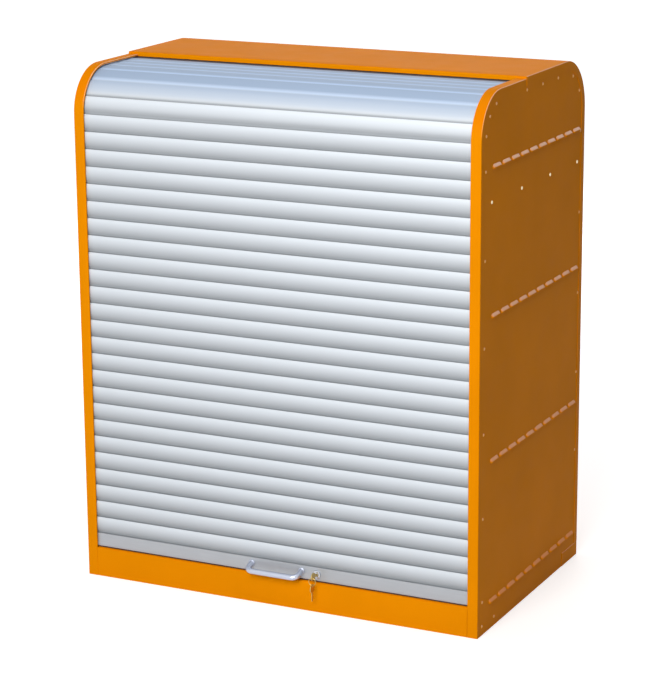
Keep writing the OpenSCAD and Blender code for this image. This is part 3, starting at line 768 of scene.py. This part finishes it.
def softened(node, material, width):
    """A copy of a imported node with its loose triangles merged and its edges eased."""
    mesh = frame["nodes"][node].data.copy()
    work = bmesh.new()
    work.from_mesh(mesh)
    bmesh.ops.remove_doubles(work, verts=work.verts, dist=CAD_WELD)
    bmesh.ops.dissolve_limit(work, angle_limit=math.radians(1.0), verts=work.verts,
                             edges=work.edges)
    work.to_mesh(mesh)
    work.free()
    for layer in list(mesh.attributes):
        if layer.name in ("custom_normal", "sharp_edge", "sharp_face"):
            mesh.attributes.remove(layer)
    mesh.materials.clear()
    mesh.materials.append(material)
    made = new_object(f"{node}_finished", mesh)
    if width:
        bevelled(made, width)
    return shade(made, COPIED)


def finish_piece(made, body, slot, *nodes):
    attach(made, body)
    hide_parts(*nodes)


def settle(made, body, slot, *nodes):
    """Merges and smooths a piece, and hands it over."""
    clean(made.data)
    finish_piece(shade(made, FOLDED), body, slot, *nodes)


def finish_copies(body, slot, width, *nodes):
    """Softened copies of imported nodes, in place of the nodes."""
    for node in nodes:
        finish_piece(softened(node, finish(slot), width), body, slot, node)


# ---- Finishes ----

# How noise is stretched: to lines along an axis, or to long waves along X
ALONG_X, ALONG_Z, WAVES_X = (0.02, 1, 1), (1, 1, 0.02), (0.22, 1, 1)


def tone(tint, factor):
    return tuple(min(1.0, channel * factor) for channel in tint)


def painted_steel(name, paint, louvred=False, gloss=0.015):
    """Powder coat: fine orange peel, slow drifts of tone, painted shade where it faces up, and a
    painted highlight with real coat gloss on upper folds and louvre tops.
    """
    finishes = settings("finishes")
    shader = Shader(name, Metallic=0.0, Specular_IOR_Level=gloss, Coat_Roughness=0.25,
                    Coat_IOR=1.9)
    drift, speck = shader.noise(0.22, detail=3), shader.noise(0.0035, detail=1)
    base = shader.mix(drift.between(0.3, 0.7), tone(paint, 0.955), tone(paint, 1.045))
    base = shader.mix(speck.between(0.62, 0.80) * 0.10, base, tone(paint, 1.35))
    across, _, up = shader.facing()
    # Painted shade: faces that tilt upwards take the top's painted tone, and level ones less of it
    tilted, level = up.between(0.15, 0.5), up.between(0.6, 1.0)
    base = shader.mix(tilted * 0.8 - level * 0.4, base, finishes.painted_top_shade)
    # Painted highlight: the louvres' upper slopes, more of it higher up, and the upper folds
    # elsewhere turn paler; the same mask also gives real coat gloss
    if louvred:
        _, _, height = shader.axes(shader.place())
        shine = up.between(0.25, 0.62) * height.between(-0.35, 1.0)
    else:
        sideways = across ** 2.0
        shine = up.between(0.10, 0.50) * (sideways * (1.0 - sideways)).between(0.02, 0.20)
    shader.set("Coat Weight", shine)
    return shader.dress(shader.mix(shine * 0.95, base, finishes.painted_highlight),
                        0.40 + shader.noise(0.05) * 0.12, shader.noise(0.0016), 0.00006, 0.35)


def silver_coat(name, silver):
    """Silver coat on a slat: faint draw lines, soft waves and painted shade on the curled lower
    edge.

    Slats that face the ceiling get a painted bluer sky reflection, and painted shade above a pale
    lower edge.
    """
    upper = settings("finishes").painted_sky_silver
    lip = FRONT_Y + settings("carcass").cover_front
    shader = Shader(name, Metallic=0.15, IOR=1.45)
    rise = shader.add("ShaderNodeAttribute", {"attribute_name": "rise"}, out="Fac")
    lines, waves = shader.noise(0.0012, ALONG_X), shader.noise(0.05, WAVES_X)
    _, _, up = shader.facing()
    ceiling, lean = up.between(0.38, 0.82), up.between(0.05, 0.55)
    # Painted shade: a slat darkens downwards on the front, and above its edge under the ceiling.
    # The edge itself is darkest on the bend and a little paler on the front.
    curl = rise.between(0.86, 0.08) * (0.77 - lean * 0.76)
    above_edge = rise.between(0.16, 0.34) * ceiling * 0.52
    edge = rise.between(0.14, 0.03) * (lean * (1.0 - ceiling) - 0.20 * (1.0 - lean))
    # Painted sky reflection on slats that face up
    base = shader.mix(ceiling, silver, upper)
    shadow = shader.mix(ceiling, tone(silver, 0.28), tone(upper, 0.45))
    base = shader.mix(curl + above_edge + edge, base, shadow)
    # Painted shadow just before the cover's lip, and only high up on the curtain
    _, deep, height = shader.axes(shader.place())
    lip_shadow = deep.between(lip - 0.016, lip - 0.008) * height.above(1.15)
    base = shader.mix(lip_shadow * 0.9, base, tone(silver, 0.03))
    base = shader.mix((lines - 0.5) * 0.25 + (waves - 0.5) * 0.30, base, tone(silver, 0.80))
    soft = shader.bump(waves, 0.0010, 0.35)
    return shader.dress(base, 0.44 + lines * 0.10 + waves * 0.06, lines, 0.00004, 0.4,
                        Normal=soft)


def brushed_metal(name, tint, metallic=0.9, rough=0.34, grain=(1, 1, 1), size=0.0010):
    """Metal with a grain along one axis."""
    shader = Shader(name, Metallic=metallic)
    lines = shader.noise(size, grain, detail=3)
    cloud = shader.noise(0.06).between(0.35, 0.65)
    base = shader.mix(lines, tone(tint, 0.88), tone(tint, 1.08))
    return shader.dress(shader.mix(cloud * 0.3, base, tone(tint, 0.9)), rough + lines * 0.14,
                        lines, 0.00003, 0.5)


def galvanised_sheet(name, tint):
    """Galvanised steel with its flat crystals, each with its own tone and gloss."""
    shader = Shader(name, Metallic=0.75)
    cells = shader.add("ShaderNodeTexVoronoi", {"feature": "F1"}, Vector=shader.place(),
                       Scale=85.0, Randomness=1.0, out="Color")
    crystal, _, _ = shader.axes(cells)
    cloud = shader.noise(0.12, detail=3).between(0.4, 0.7)
    base = shader.mix(crystal, tone(tint, 0.84), tone(tint, 1.10))
    return shader.dress(shader.mix(cloud * 0.25, base, tone(tint, 0.8)), 0.36 + crystal * 0.20,
                        shader.noise(0.004), 0.00005, 0.4)


def polished_metal(name, tint, rough):
    """Plated metal with fine scratches."""
    shader = Shader(name, Metallic=1.0)
    scratch, wear = shader.noise(0.0006, (1, 0.15, 1), detail=3), shader.noise(0.004, detail=3)
    return shader.dress(shader.mix(wear.between(0.45, 0.75) * 0.5, tint, tone(tint, 0.72)),
                        rough + wear * 0.10 + scratch * 0.06, scratch, 0.00001, 0.4)


def rubber(name, tint):
    """Matt rubber with a fine grain."""
    shader = Shader(name, Metallic=0.0)
    grain = shader.noise(0.0010, detail=3)
    return shader.dress(shader.mix(grain, tint, tone(tint, 2.2)), 0.62 + grain * 0.2,
                        grain, 0.00008, 0.5)


# Finish: the material's name, its function, its colour in the settings, and its options
FINISH_MAKERS = {
    "orange_paint": ("orange_powder_coat", painted_steel, "paint", {}),
    "louvre_paint": ("orange_powder_coat_louvres", painted_steel, "paint", {"louvred": True}),
    "painted_rivet": ("rivet_powder_coat", painted_steel, "rivet", {"gloss": 0.3}),
    "silver_slat": ("silver_slat_coat", silver_coat, "silver", {}),
    "silver_bar": ("brushed_bar", brushed_metal, "bar",
                   {"metallic": 0.45, "rough": 0.38, "grain": ALONG_X}),
    "satin_handle": ("satin_handle_coat", brushed_metal, "handle",
                     {"metallic": 0.7, "rough": 0.24, "size": 0.0012}),
    "galvanised_steel": ("galvanised_sheet", galvanised_sheet, "galvanised", {}),
    "rail_aluminium": ("rail_aluminium", brushed_metal, "aluminium",
                       {"metallic": 0.85, "grain": ALONG_Z}),
    "zinc": ("zinc_plate", brushed_metal, "zinc", {"size": 0.002}),
    "lock_chrome": ("lock_chrome", polished_metal, "chrome", {"rough": 0.10}),
    "key_brass": ("key_brass", polished_metal, "brass", {"rough": 0.24}),
    "bright_rivet": ("bright_rivet_zinc", brushed_metal, "bright",
                     {"metallic": 0.75, "rough": 0.30}),
    "seal_rubber": ("black_rubber", rubber, "rubber", {}),
}
_finishes = {}


def finish(kind):
    """The material of a finish, made when it is first asked for."""
    if kind not in _finishes:
        name, make, tint, options = FINISH_MAKERS[kind]
        _finishes[kind] = make(name, getattr(settings("finishes"), tint), **options)
    return _finishes[kind]


# ---- Pieces ----

def side_values():
    return {"Depth": REAR_Y - FRONT_Y, "Height": SIDE_TOP,
            **values_of(settings("carcass"), "Front Radius", "Rear Radius")}


def louvre_hood():
    """One pressed hood: rounded ends, a sloping top and an upright lip, open below."""
    sizes = settings("louvres")
    # Section from the sheet down to the lip, as shares of how far out and how high
    section = [(0.0, 1.0), (0.10, 0.96), (0.34, 0.80), (0.64, 0.59), (0.88, 0.42), (1.0, 0.30),
               (1.0, 0.0)]
    straight, steps = 1 - sizes.round_end, 16
    rings = []
    for step in range(steps + 1):
        along = math.sin(math.pi * (step / steps - 0.5))
        into_end = max(0.0, abs(along) - straight) / sizes.round_end
        # The hood gets lower and flatter towards its rounded ends
        fade = max(math.sqrt(max(0.0, 1 - into_end ** 2)), 0.02)
        rings.append([(along * sizes.length / 2, sizes.height * up * (0.25 + 0.75 * fade),
                       sizes.out * far * fade ** 0.8) for far, up in section])
    hood = from_rings("hood", rings, finish("louvre_paint"), closed=False)
    middle = hood.data.polygons[len(hood.data.polygons) // 2]
    if middle.normal.z < 0:
        hood.data.flip_normals()
    return shade(walled(hood, sizes.wall, -1.0), PRESSED)


class CABINET_OT_side_panels(bpy.types.Operator):
    """Builds both side panels with their pressed louvres"""
    bl_idname = "cabinet.side_panels"
    bl_label = "Side panels"

    def execute(self, context):
        sizes = settings("louvres")
        hood, maker = louvre_hood(), louvred_plate_maker()
        values = {
            **side_values(), "Sheet": settings("carcass").sheet, "Outer X": HALF_W, "Hood": hood,
            "Slot Length": sizes.length - 2 * sizes.wall, "Slot Height": sizes.height - sizes.wall,
            **values_of(sizes, "Columns", "Rows", "First Y", "First Z", "Pitch", "Row Pitch")}
        for side, sign in SIDES.items():
            panel = grow(f"louvred_side_{side}", maker, finish("louvre_paint"), values)
            mirror(panel, sign)
            finish_piece(shade(panel, PRESSED), "cabinet", "orange_paint", f"side_panel_{side}")
        remove(hood)
        return {"FINISHED"}


class CABINET_OT_front_bands(bpy.types.Operator):
    """Builds the two bands that frame the shutter and bend over the front corner"""
    bl_idname = "cabinet.front_bands"
    bl_label = "Front bands"

    def execute(self, context):
        carcass = settings("carcass")
        sheet, fold, radius = carcass.sheet, carcass.edge_radius, carcass.front_radius
        inner = HALF_W - carcass.band_width
        points = [(HALF_W, sheet)] + arc((HALF_W - fold, fold), fold, 0, -90)
        points += arc((inner + fold, fold), fold, 270, 180)
        points += [(inner, carcass.band_return), (inner + sheet, carcass.band_return),
                   (inner + sheet, sheet)]
        maker = outline_strip_maker()
        section = section_curve("band_section", [(inset, across) for across, inset in points])
        end = SIDE_TOP - radius + math.pi / 2 * radius + carcass.band_end - radius
        for side, sign in SIDES.items():
            band = grow(f"front_band_{side}_folded", maker, finish("orange_paint"), {
                **side_values(), "End": end, "Section": section})
            mirror(band, sign)
            settle(band, "cabinet", "orange_paint", f"front_band_{side}")
        remove(section)
        return {"FINISHED"}


def folded_skin(name, rows, thickness):
    """A painted sheet through rows of points, where None leaves a hole."""
    points, faces, names = [], [], {}
    for step, row in enumerate(rows):
        for spot, point in enumerate(row):
            if point is not None:
                names[step, spot] = len(points)
                points.append(point)
    for step in range(len(rows) - 1):
        for spot in range(len(rows[0]) - 1):
            corners = [(step, spot), (step, spot + 1), (step + 1, spot + 1), (step + 1, spot)]
            if all(corner in names for corner in corners):
                faces.append([names[corner] for corner in corners])
    mesh = mesh_of(name, points, faces, finish("orange_paint"))
    clean(mesh, outwards=False)
    return shade(walled(new_object(name, mesh), thickness, 1.0), FOLDED)


FLAT_POINTS = 15         # points across the flat of the cover and the back


def flange_section(edge):
    """Across the cabinet as (x, drop): a fold over each side, and flat between.

    A line of points lies at the edge, where a lip or a foot may end.
    """
    carcass = settings("carcass")
    half, fold = HALF_W + carcass.flange_sheet, carcass.edge_radius
    right = [(half, carcass.flange)]
    right += [(x, -z) for x, z in arc((half - fold, -fold), fold, 0, 90)]
    left = [(-x, drop) for x, drop in reversed(right)]
    return right + [(x, 0.0) for x in evenly(edge, -edge, FLAT_POINTS)] + left


class CABINET_OT_top_cover(bpy.types.Operator):
    """Builds the flat cover with its front lip, its rear bend and the folds over the sides"""
    bl_idname = "cabinet.top_cover"
    bl_label = "Top cover"

    LIP_STEPS, FLAT_STEPS, BEND_STEPS = 4, 9, 24

    def path(self, carcass):
        """Points from the lip to the rear bend: (y, z), the way inwards, and the stretch."""
        fold, radius = carcass.edge_radius, carcass.rear_radius
        front, down = FRONT_Y + carcass.cover_front, (0, -1)
        start, end = front + fold, REAR_Y - radius
        round_front = arc((start, COVER_TOP - fold), fold, 180, 90, self.LIP_STEPS)
        flat = [(y, COVER_TOP) for y in evenly(start, end, self.FLAT_STEPS + 1)]
        round_rear = arc((end, COVER_TOP - radius), radius, 90, 0, self.BEND_STEPS)
        path = [((front, COVER_TOP - carcass.cover_lip), (1, 0), "lip"),
                ((front, SIDE_TOP), (1, 0), "front")]
        path += [(spot, down, "front") for spot in round_front[:-1]]
        path += [(spot, down, "top") for spot in flat[:-1]]
        path += [((y, z), ((end - y) / radius, (COVER_TOP - radius - z) / radius), "top")
                 for y, z in round_rear]
        return path

    def execute(self, context):
        carcass = settings("carcass")
        lip_half = HALF_W - carcass.band_width - carcass.gap
        rows = []
        for (y, z), inward, stretch in self.path(carcass):
            row = []
            for x, drop in flange_section(lip_half):
                beside_lip = stretch == "lip" and abs(x) > lip_half + WELD
                folded = stretch != "top" and drop > 0
                row.append(None if beside_lip or folded
                           else (x, y + inward[0] * drop, z + inward[1] * drop))
            rows.append(row)
        cover = folded_skin("top_cover_folded", rows, carcass.flange_sheet)
        finish_piece(cover, "cabinet", "orange_paint", "top_cover")
        return {"FINISHED"}


class CABINET_OT_back_panel(bpy.types.Operator):
    """Builds the back sheet with its folds over the sides, and the plates at the rear feet"""
    bl_idname = "cabinet.back_panel"
    bl_label = "Back panel"

    ROWS = 9

    def execute(self, context):
        carcass = settings("carcass")
        low, top = PLATE_TOP + carcass.gap, COVER_TOP - carcass.rear_radius - carcass.gap / 2
        heights = [0.0] + evenly(low, top, self.ROWS)
        section = flange_section(HALF_W - carcass.band_width)
        rows = [[None if height < low and drop > 0 else (x, REAR_Y - drop, height)
                 for x, drop in section] for height in heights]
        back = folded_skin("back_panel_folded", rows[::-1], carcass.flange_sheet)
        finish_piece(back, "cabinet", "orange_paint", "back_panel")
        finish_copies("cabinet", "orange_paint", 0.0004, "corner_plates")
        return {"FINISHED"}


def folded_sheet(name, slot, face, depth, heights, fold, thickness, half_width):
    """A face that folds back and returns: it starts, turns and ends at the heights."""
    start, turn, end = heights
    front, rear = face + thickness / 2, face + depth - thickness / 2
    corners = [(front, start), (front, turn), (rear, turn), (rear, end)]
    return grow(name, folded_sheet_maker(), finish(slot), {
        **{f"Corner {index + 1}": (*corner, 0.0) for index, corner in enumerate(corners)},
        "Fold": fold, "Thickness": thickness, "Half Width": half_width})


class CABINET_OT_plinth(bpy.types.Operator):
    """Builds the folded plinth under the shutter"""
    bl_idname = "cabinet.plinth"
    bl_label = "Plinth"

    def execute(self, context):
        carcass = settings("carcass")
        sheet, top = carcass.sheet, carcass.plinth_height
        plinth = folded_sheet(
            "plinth_folded", "orange_paint", carcass.plinth_recess, carcass.sill_depth,
            (0.0, top - sheet / 2, top - carcass.sill_return), carcass.plinth_fold, sheet,
            HALF_W - carcass.band_width - carcass.gap)
        settle(plinth, "cabinet", "orange_paint", "plinth")
        return {"FINISHED"}


class CABINET_OT_slats(bpy.types.Operator):
    """Builds the slats of the shutter, each on its own body, and those round the curve"""
    bl_idname = "cabinet.slats"
    bl_label = "Slats"

    def execute(self, context):
        sizes = settings("shutter")
        common = values_of(sizes, *SLAT_INPUTS)
        maker = slat_maker()
        for index, node in enumerate(SLAT_NODES):
            slat = grow(f"{node}_formed", maker, finish("silver_slat"), {
                **common, "Rise": sizes.first + index * sizes.pitch})
            settle(slat, f"{node}_body" if index else "shutter", "silver_slat", node)
        curtain = grow("upper_curtain_formed", curtain_maker(), finish("silver_slat"), {
            **side_values(), **common, "Slats": sizes.upper_count,
            "First": SIDE_TOP - settings("carcass").front_radius + sizes.upper_start})
        settle(curtain, "cabinet", "silver_slat", "upper_curtain")
        return {"FINISHED"}


class CABINET_OT_bottom_bar(bpy.types.Operator):
    """Builds the flat bar at the foot of the shutter and its rubber seal"""
    bl_idname = "cabinet.bottom_bar"
    bl_label = "Bottom bar"

    def execute(self, context):
        sizes = settings("shutter")
        wall, low = sizes.bar_wall, sizes.bar_bottom
        bar = folded_sheet(
            "bottom_bar_folded", "silver_bar", sizes.bar_face, sizes.bar_depth,
            (sizes.first, low + wall / 2, low + sizes.bar_lip), sizes.bar_fold, wall,
            sizes.half_width)
        clean(bar.data)
        finish_piece(shade(bevelled(bar, sizes.bar_edge), FOLDED), "shutter", "silver_bar",
                     "bottom_bar")
        finish_copies("shutter", "seal_rubber", 0.0005, "bar_seal")
        return {"FINISHED"}


def joined(name, parts):
    """One mesh from several objects that share a material."""
    work = bmesh.new()
    for part in parts:
        work.from_mesh(part.data)
    mesh = bpy.data.meshes.new(name)
    work.to_mesh(mesh)
    work.free()
    mesh.materials.append(parts[0].data.materials[0])
    for part in parts:
        remove(part)
    return new_object(name, mesh)


class CABINET_OT_handle(bpy.types.Operator):
    """Builds the bow handle with its feet"""
    bl_idname = "cabinet.handle"
    bl_label = "Handle"

    def execute(self, context):
        sizes, coat = settings("handle"), finish("satin_handle")
        face, height = FRONT_Y + settings("shutter").bar_face, sizes.middle + sizes.raised
        rod = grow("bow_handle", bow_handle_maker(), coat, {
            **values_of(sizes, *HANDLE_INPUTS), "Middle": (0.0, face, height)})
        clean(rod.data)
        # A foot's outline: its flat end with an eased rim, and the side down to the bar
        foot, end = sizes.foot, -sizes.foot_height
        outline = [(0.0, end), (foot - 0.0016, end), (foot - 0.0006, end + 0.0004),
                   (foot, end + 0.0012), (foot, 0.0), (0.0, 0.0)]
        feet = [lathe("handle_foot", outline, coat, (side * sizes.span / 2, face, height))
                for side in SIDES.values()]
        handle = joined("bow_handle_with_feet", [rod] + feet)
        finish_piece(shade(handle, BENT), "shutter", "satin_handle", "handle")
        finish_copies("shutter", "zinc", 0.0003, "handle_screws")
        return {"FINISHED"}


class CABINET_OT_lock(bpy.types.Operator):
    """Builds the cylinder lock, its plug, nuts and cam"""
    bl_idname = "cabinet.lock"
    bl_label = "Lock"

    def execute(self, context):
        sizes, seat = settings("handle"), settings("shutter").bar_face
        face, wide, bore = sizes.lock_face, sizes.lock_flange, sizes.lock_bore
        barrel, end = sizes.lock_barrel, seat + sizes.lock_length
        # From the bore's chamfer over the round rim of the flange to the barrel's end
        outline = [(bore, face + 0.0006), (bore + 0.0005, face), (wide - 0.0030, face),
                   (wide - 0.0014, face + 0.0004), (wide - 0.0004, face + 0.0014),
                   (wide, face + 0.0030), (wide, seat), (barrel, seat), (barrel, end), (bore, end)]
        housing = lathe("lock_housing_turned", outline + outline[:1], finish("lock_chrome"),
                        (sizes.lock_x, FRONT_Y, sizes.middle), 64)
        finish_piece(shade(housing, FOLDED), "shutter", "lock_chrome", "lock_housing")
        finish_copies("shutter", "zinc", 0.0003, "lock_nut")
        finish_copies("lock_core", "lock_chrome", 0.00015, "lock_plug")
        finish_copies("lock_core", "zinc", 0.0003, "lock_cam")
        finish_copies("lock_core", "zinc", 0.0002, "cam_nut")
        return {"FINISHED"}


class CABINET_OT_keys(bpy.types.Operator):
    """Builds the key in the lock, the ring and the second key"""
    bl_idname = "cabinet.keys"
    bl_label = "Keys"

    def execute(self, context):
        finish_copies("key_in_lock", "key_brass", 0.0003, "key")
        finish_copies("ring", "key_brass", 0.0, "key_ring")
        finish_copies("second_key", "key_brass", 0.0003, "spare_key")
        return {"FINISHED"}


def rivet_places():
    """Painted and bright rivets of one side as (depth, height)."""
    sizes, carcass = settings("rivets"), settings("carcass")
    inset, deep, high = sizes.inset, REAR_Y - FRONT_Y, SIDE_TOP
    front, rear = carcass.front_radius, carcass.rear_radius
    heights = evenly(sizes.lowest, high - front - sizes.below_bend, sizes.upright_count)
    painted = [(inset, z) for z in heights] + [(deep - inset, z) for z in heights[1:]]
    painted += on_circle((front, high - front), front - inset, (170, 138, 108))
    painted += on_circle((deep - rear, high - rear), rear - inset, (30, 65))
    painted += [(y, high - inset) for y in evenly(
        carcass.cover_front + sizes.top_front, deep - rear - sizes.top_rear, sizes.top_count)]
    painted += [(inset, sizes.foot_height), (inset + sizes.foot_pitch, sizes.foot_height)]
    bright = [(y, high - sizes.bright_drop) for y in evenly(
        sizes.bright_front, deep - sizes.bright_rear, sizes.bright_count)]
    return painted, bright


class CABINET_OT_rivets(bpy.types.Operator):
    """Sets domed rivet heads on both sides"""
    bl_idname = "cabinet.rivets"
    bl_label = "Rivets"

    # The dome from its rim to its middle, as shares of its radius and height
    DOME = ((1.0, 0.0), (0.98, 0.30), (0.86, 0.66), (0.62, 0.90), (0.32, 1.0), (0.0, 1.0))

    def execute(self, context):
        sizes, maker = settings("rivets"), rivet_maker()
        painted, bright = rivet_places()
        for name, places, radius, slot, node in (
                ("painted_rivet_heads", painted, sizes.radius, "painted_rivet", "frame_rivets"),
                ("bright_rivet_heads", bright, sizes.bright_radius, "bright_rivet",
                 "side_rivets")):
            dome = [(radius * out, sizes.height * up) for out, up in self.DOME]
            head = lathe("rivet_head", [(0.0, 0.0)] + dome, finish(slot), (0, 0, 0), 20, axis="X")
            shade(head, PRESSED)
            points = mesh_of(name, [(sign * HALF_W, FRONT_Y + y, z) for sign in SIDES.values()
                                    for y, z in places], [])
            turn = points.attributes.new("turn", "FLOAT", "POINT")
            turn.data.foreach_set("value", [math.pi] * len(places) + [0.0] * len(places))
            heads = grow(name, maker, finish(slot), {"Head": head}, points)
            remove(head)
            finish_piece(shade(heads, PRESSED), "cabinet", slot, node)
        return {"FINISHED"}


class CABINET_OT_inside(bpy.types.Operator):
    """Finishes the rails, the inner back, the base, the trays and what carries them"""
    bl_idname = "cabinet.inside"
    bl_label = "Inside"

    def execute(self, context):
        finish_copies("cabinet", "rail_aluminium", 0.0, "guide_rail_left", "guide_rail_right")
        for width, *nodes in ((0.0003, "inner_back"), (0.0005, "base_frame"),
                              (0.0004, "floor_pan", "sump_tray", "shelf_lower", "shelf_upper"),
                              (0.0005, "shelf_uprights"),
                              (0.0004, "shelf_brackets", "strike_plate")):
            finish_copies("cabinet", "galvanised_steel", width, *nodes)
        return {"FINISHED"}


class CABINET_OT_stage(bpy.types.Operator):
    """Sets the floor, the soft lights, the white surroundings and the camera"""
    bl_idname = "cabinet.stage"
    bl_label = "Stage"

    LIT_SPOT = Vector((0.0, 0.0, 0.6))

    def execute(self, context):
        stage, scene = settings("stage"), context.scene
        scene.view_settings.view_transform = "Standard"
        self.floor(stage)
        self.surroundings(scene, stage)
        # Place, side of the square, watts, colour, and whether metal mirrors the lamp
        self.lamp("key_light", (0.6, -4.27, 2.7), 2.4, stage.key, (1.0, 0.985, 0.96), True)
        self.lamp("ceiling_light", (0.3, 0.3, 4.3), 3.2, stage.ceiling, (0.90, 0.95, 1.0), True)
        self.lamp("rear_light", (-1.2, 4.3, 2.2), 2.4, stage.rear, (1.0, 1.0, 1.0), False)
        self.lamp("left_light", (-4.5, 0.4, 2.0), 2.4, stage.left, (1.0, 1.0, 1.0), False)
        scene.camera = self.camera(stage)
        return {"FINISHED"}

    def lamp(self, name, place, size, power, tint, mirrored):
        lamp = bpy.data.lights.new(name, "AREA")
        lamp.shape, lamp.size, lamp.energy, lamp.color = "SQUARE", size, power, tint
        made = new_object(name, lamp)
        made.location, made.visible_glossy = place, mirrored
        aim = self.LIT_SPOT - Vector(place)
        made.rotation_euler = aim.to_track_quat("-Z", "Y").to_euler()

    def camera(self, stage):
        """A camera that looks at its target from the yaw, pitch and distance given."""
        lens = bpy.data.cameras.new("camera")
        lens.lens, lens.sensor_width, lens.clip_end = stage.lens, 36.0, 100.0
        camera = new_object("camera", lens)
        back = Vector((math.sin(stage.yaw) * math.cos(stage.pitch),
                       -math.cos(stage.yaw) * math.cos(stage.pitch), math.sin(stage.pitch)))
        level = Vector((0, 0, 1)).cross(back).normalized()
        rise = back.cross(level)
        right = math.cos(stage.roll) * level + math.sin(stage.roll) * rise
        up = math.cos(stage.roll) * rise - math.sin(stage.roll) * level
        turn = Matrix((right, up, back)).transposed().to_4x4()
        target = Vector((stage.target_x, FRONT_Y, stage.target_z))
        camera.matrix_world = Matrix.Translation(target + back * stage.distance) @ turn
        return camera

    def floor(self, stage):
        """A plain pale floor that keeps the cabinet's soft shadow."""
        shader = Shader("pale_floor")
        tint = settings("finishes").floor
        shader.set("Base Color", shader.mix(shader.noise(0.4, detail=3), tone(tint, 0.985), tint))
        shader.set("Roughness", 0.85)
        x, y, _ = shader.axes(shader.place())
        # The lamps fade with the distance from the cabinet, and the glow makes up for it
        far = ((x ** 2.0 + y ** 2.0) ** 0.5).between(1.2, 7.0)
        lift = stage.floor_glow + far * (stage.far_glow - stage.floor_glow)
        glow = shader.node("ShaderNodeEmission", Strength=shader.seen_directly() * lift)
        total = shader.node("ShaderNodeAddShader")
        for index, part in enumerate((shader.principled, glow)):
            shader.nodes.links.new(part.outputs[0], total.inputs[index])
        shader.nodes.links.new(total.outputs[0], shader.end.inputs[0])
        half = stage.floor_half
        corners = [(-half, -half, 0), (half, -half, 0), (half, half, 0), (-half, half, 0)]
        new_object("floor", mesh_of("floor", corners, [(0, 1, 2, 3)], shader.material))

    def surroundings(self, scene, stage):
        """White to the camera and in reflections, and an even room light otherwise."""
        world = bpy.data.worlds.new("surroundings")
        world.use_nodes = True
        tree = Tree(world.node_tree)
        tree.nodes.nodes.clear()
        glow = tree.node("ShaderNodeBackground", Color=(1, 1, 1, 1),
                         Strength=tree.seen_directly() * (1.0 - stage.room) + stage.room)
        tree.nodes.links.new(glow.outputs[0], tree.node("ShaderNodeOutputWorld").inputs[0])
        scene.world = world


OPERATORS = [CABINET_OT_side_panels, CABINET_OT_front_bands, CABINET_OT_top_cover,
             CABINET_OT_back_panel, CABINET_OT_plinth, CABINET_OT_slats, CABINET_OT_bottom_bar,
             CABINET_OT_handle, CABINET_OT_lock, CABINET_OT_keys, CABINET_OT_rivets,
             CABINET_OT_inside, CABINET_OT_stage]


class CABINET_PT_panel(bpy.types.Panel):
    """Lists the cabinet's pieces"""
    bl_idname = "CABINET_PT_panel"
    bl_label = "Cabinet"
    bl_space_type = "VIEW_3D"
    bl_region_type = "UI"
    bl_category = "Cabinet"

    def draw(self, context):
        for operator in OPERATORS:
            self.layout.operator(operator.bl_idname)
        for group in GROUPS:
            box = self.layout.box()
            box.label(text=group.replace("_", " ").capitalize())
            for name in getattr(context.scene, group).__annotations__:
                box.prop(getattr(context.scene, group), name)


def register():
    for kind in [*GROUPS.values(), *OPERATORS, CABINET_PT_panel]:
        bpy.utils.register_class(kind)
    for name, kind in GROUPS.items():
        setattr(bpy.types.Scene, name, PointerProperty(type=kind))


def unregister():
    for name in GROUPS:
        delattr(bpy.types.Scene, name)
    for kind in reversed([*GROUPS.values(), *OPERATORS, CABINET_PT_panel]):
        bpy.utils.unregister_class(kind)


def main():
    register()
    bpy.ops.cabinet.side_panels()
    bpy.ops.cabinet.front_bands()
    bpy.ops.cabinet.top_cover()
    bpy.ops.cabinet.back_panel()
    bpy.ops.cabinet.plinth()
    bpy.ops.cabinet.slats()
    bpy.ops.cabinet.bottom_bar()
    bpy.ops.cabinet.handle()
    bpy.ops.cabinet.lock()
    bpy.ops.cabinet.keys()
    bpy.ops.cabinet.rivets()
    bpy.ops.cabinet.inside()
    bpy.ops.cabinet.stage()


if __name__ == "__main__":
    main()
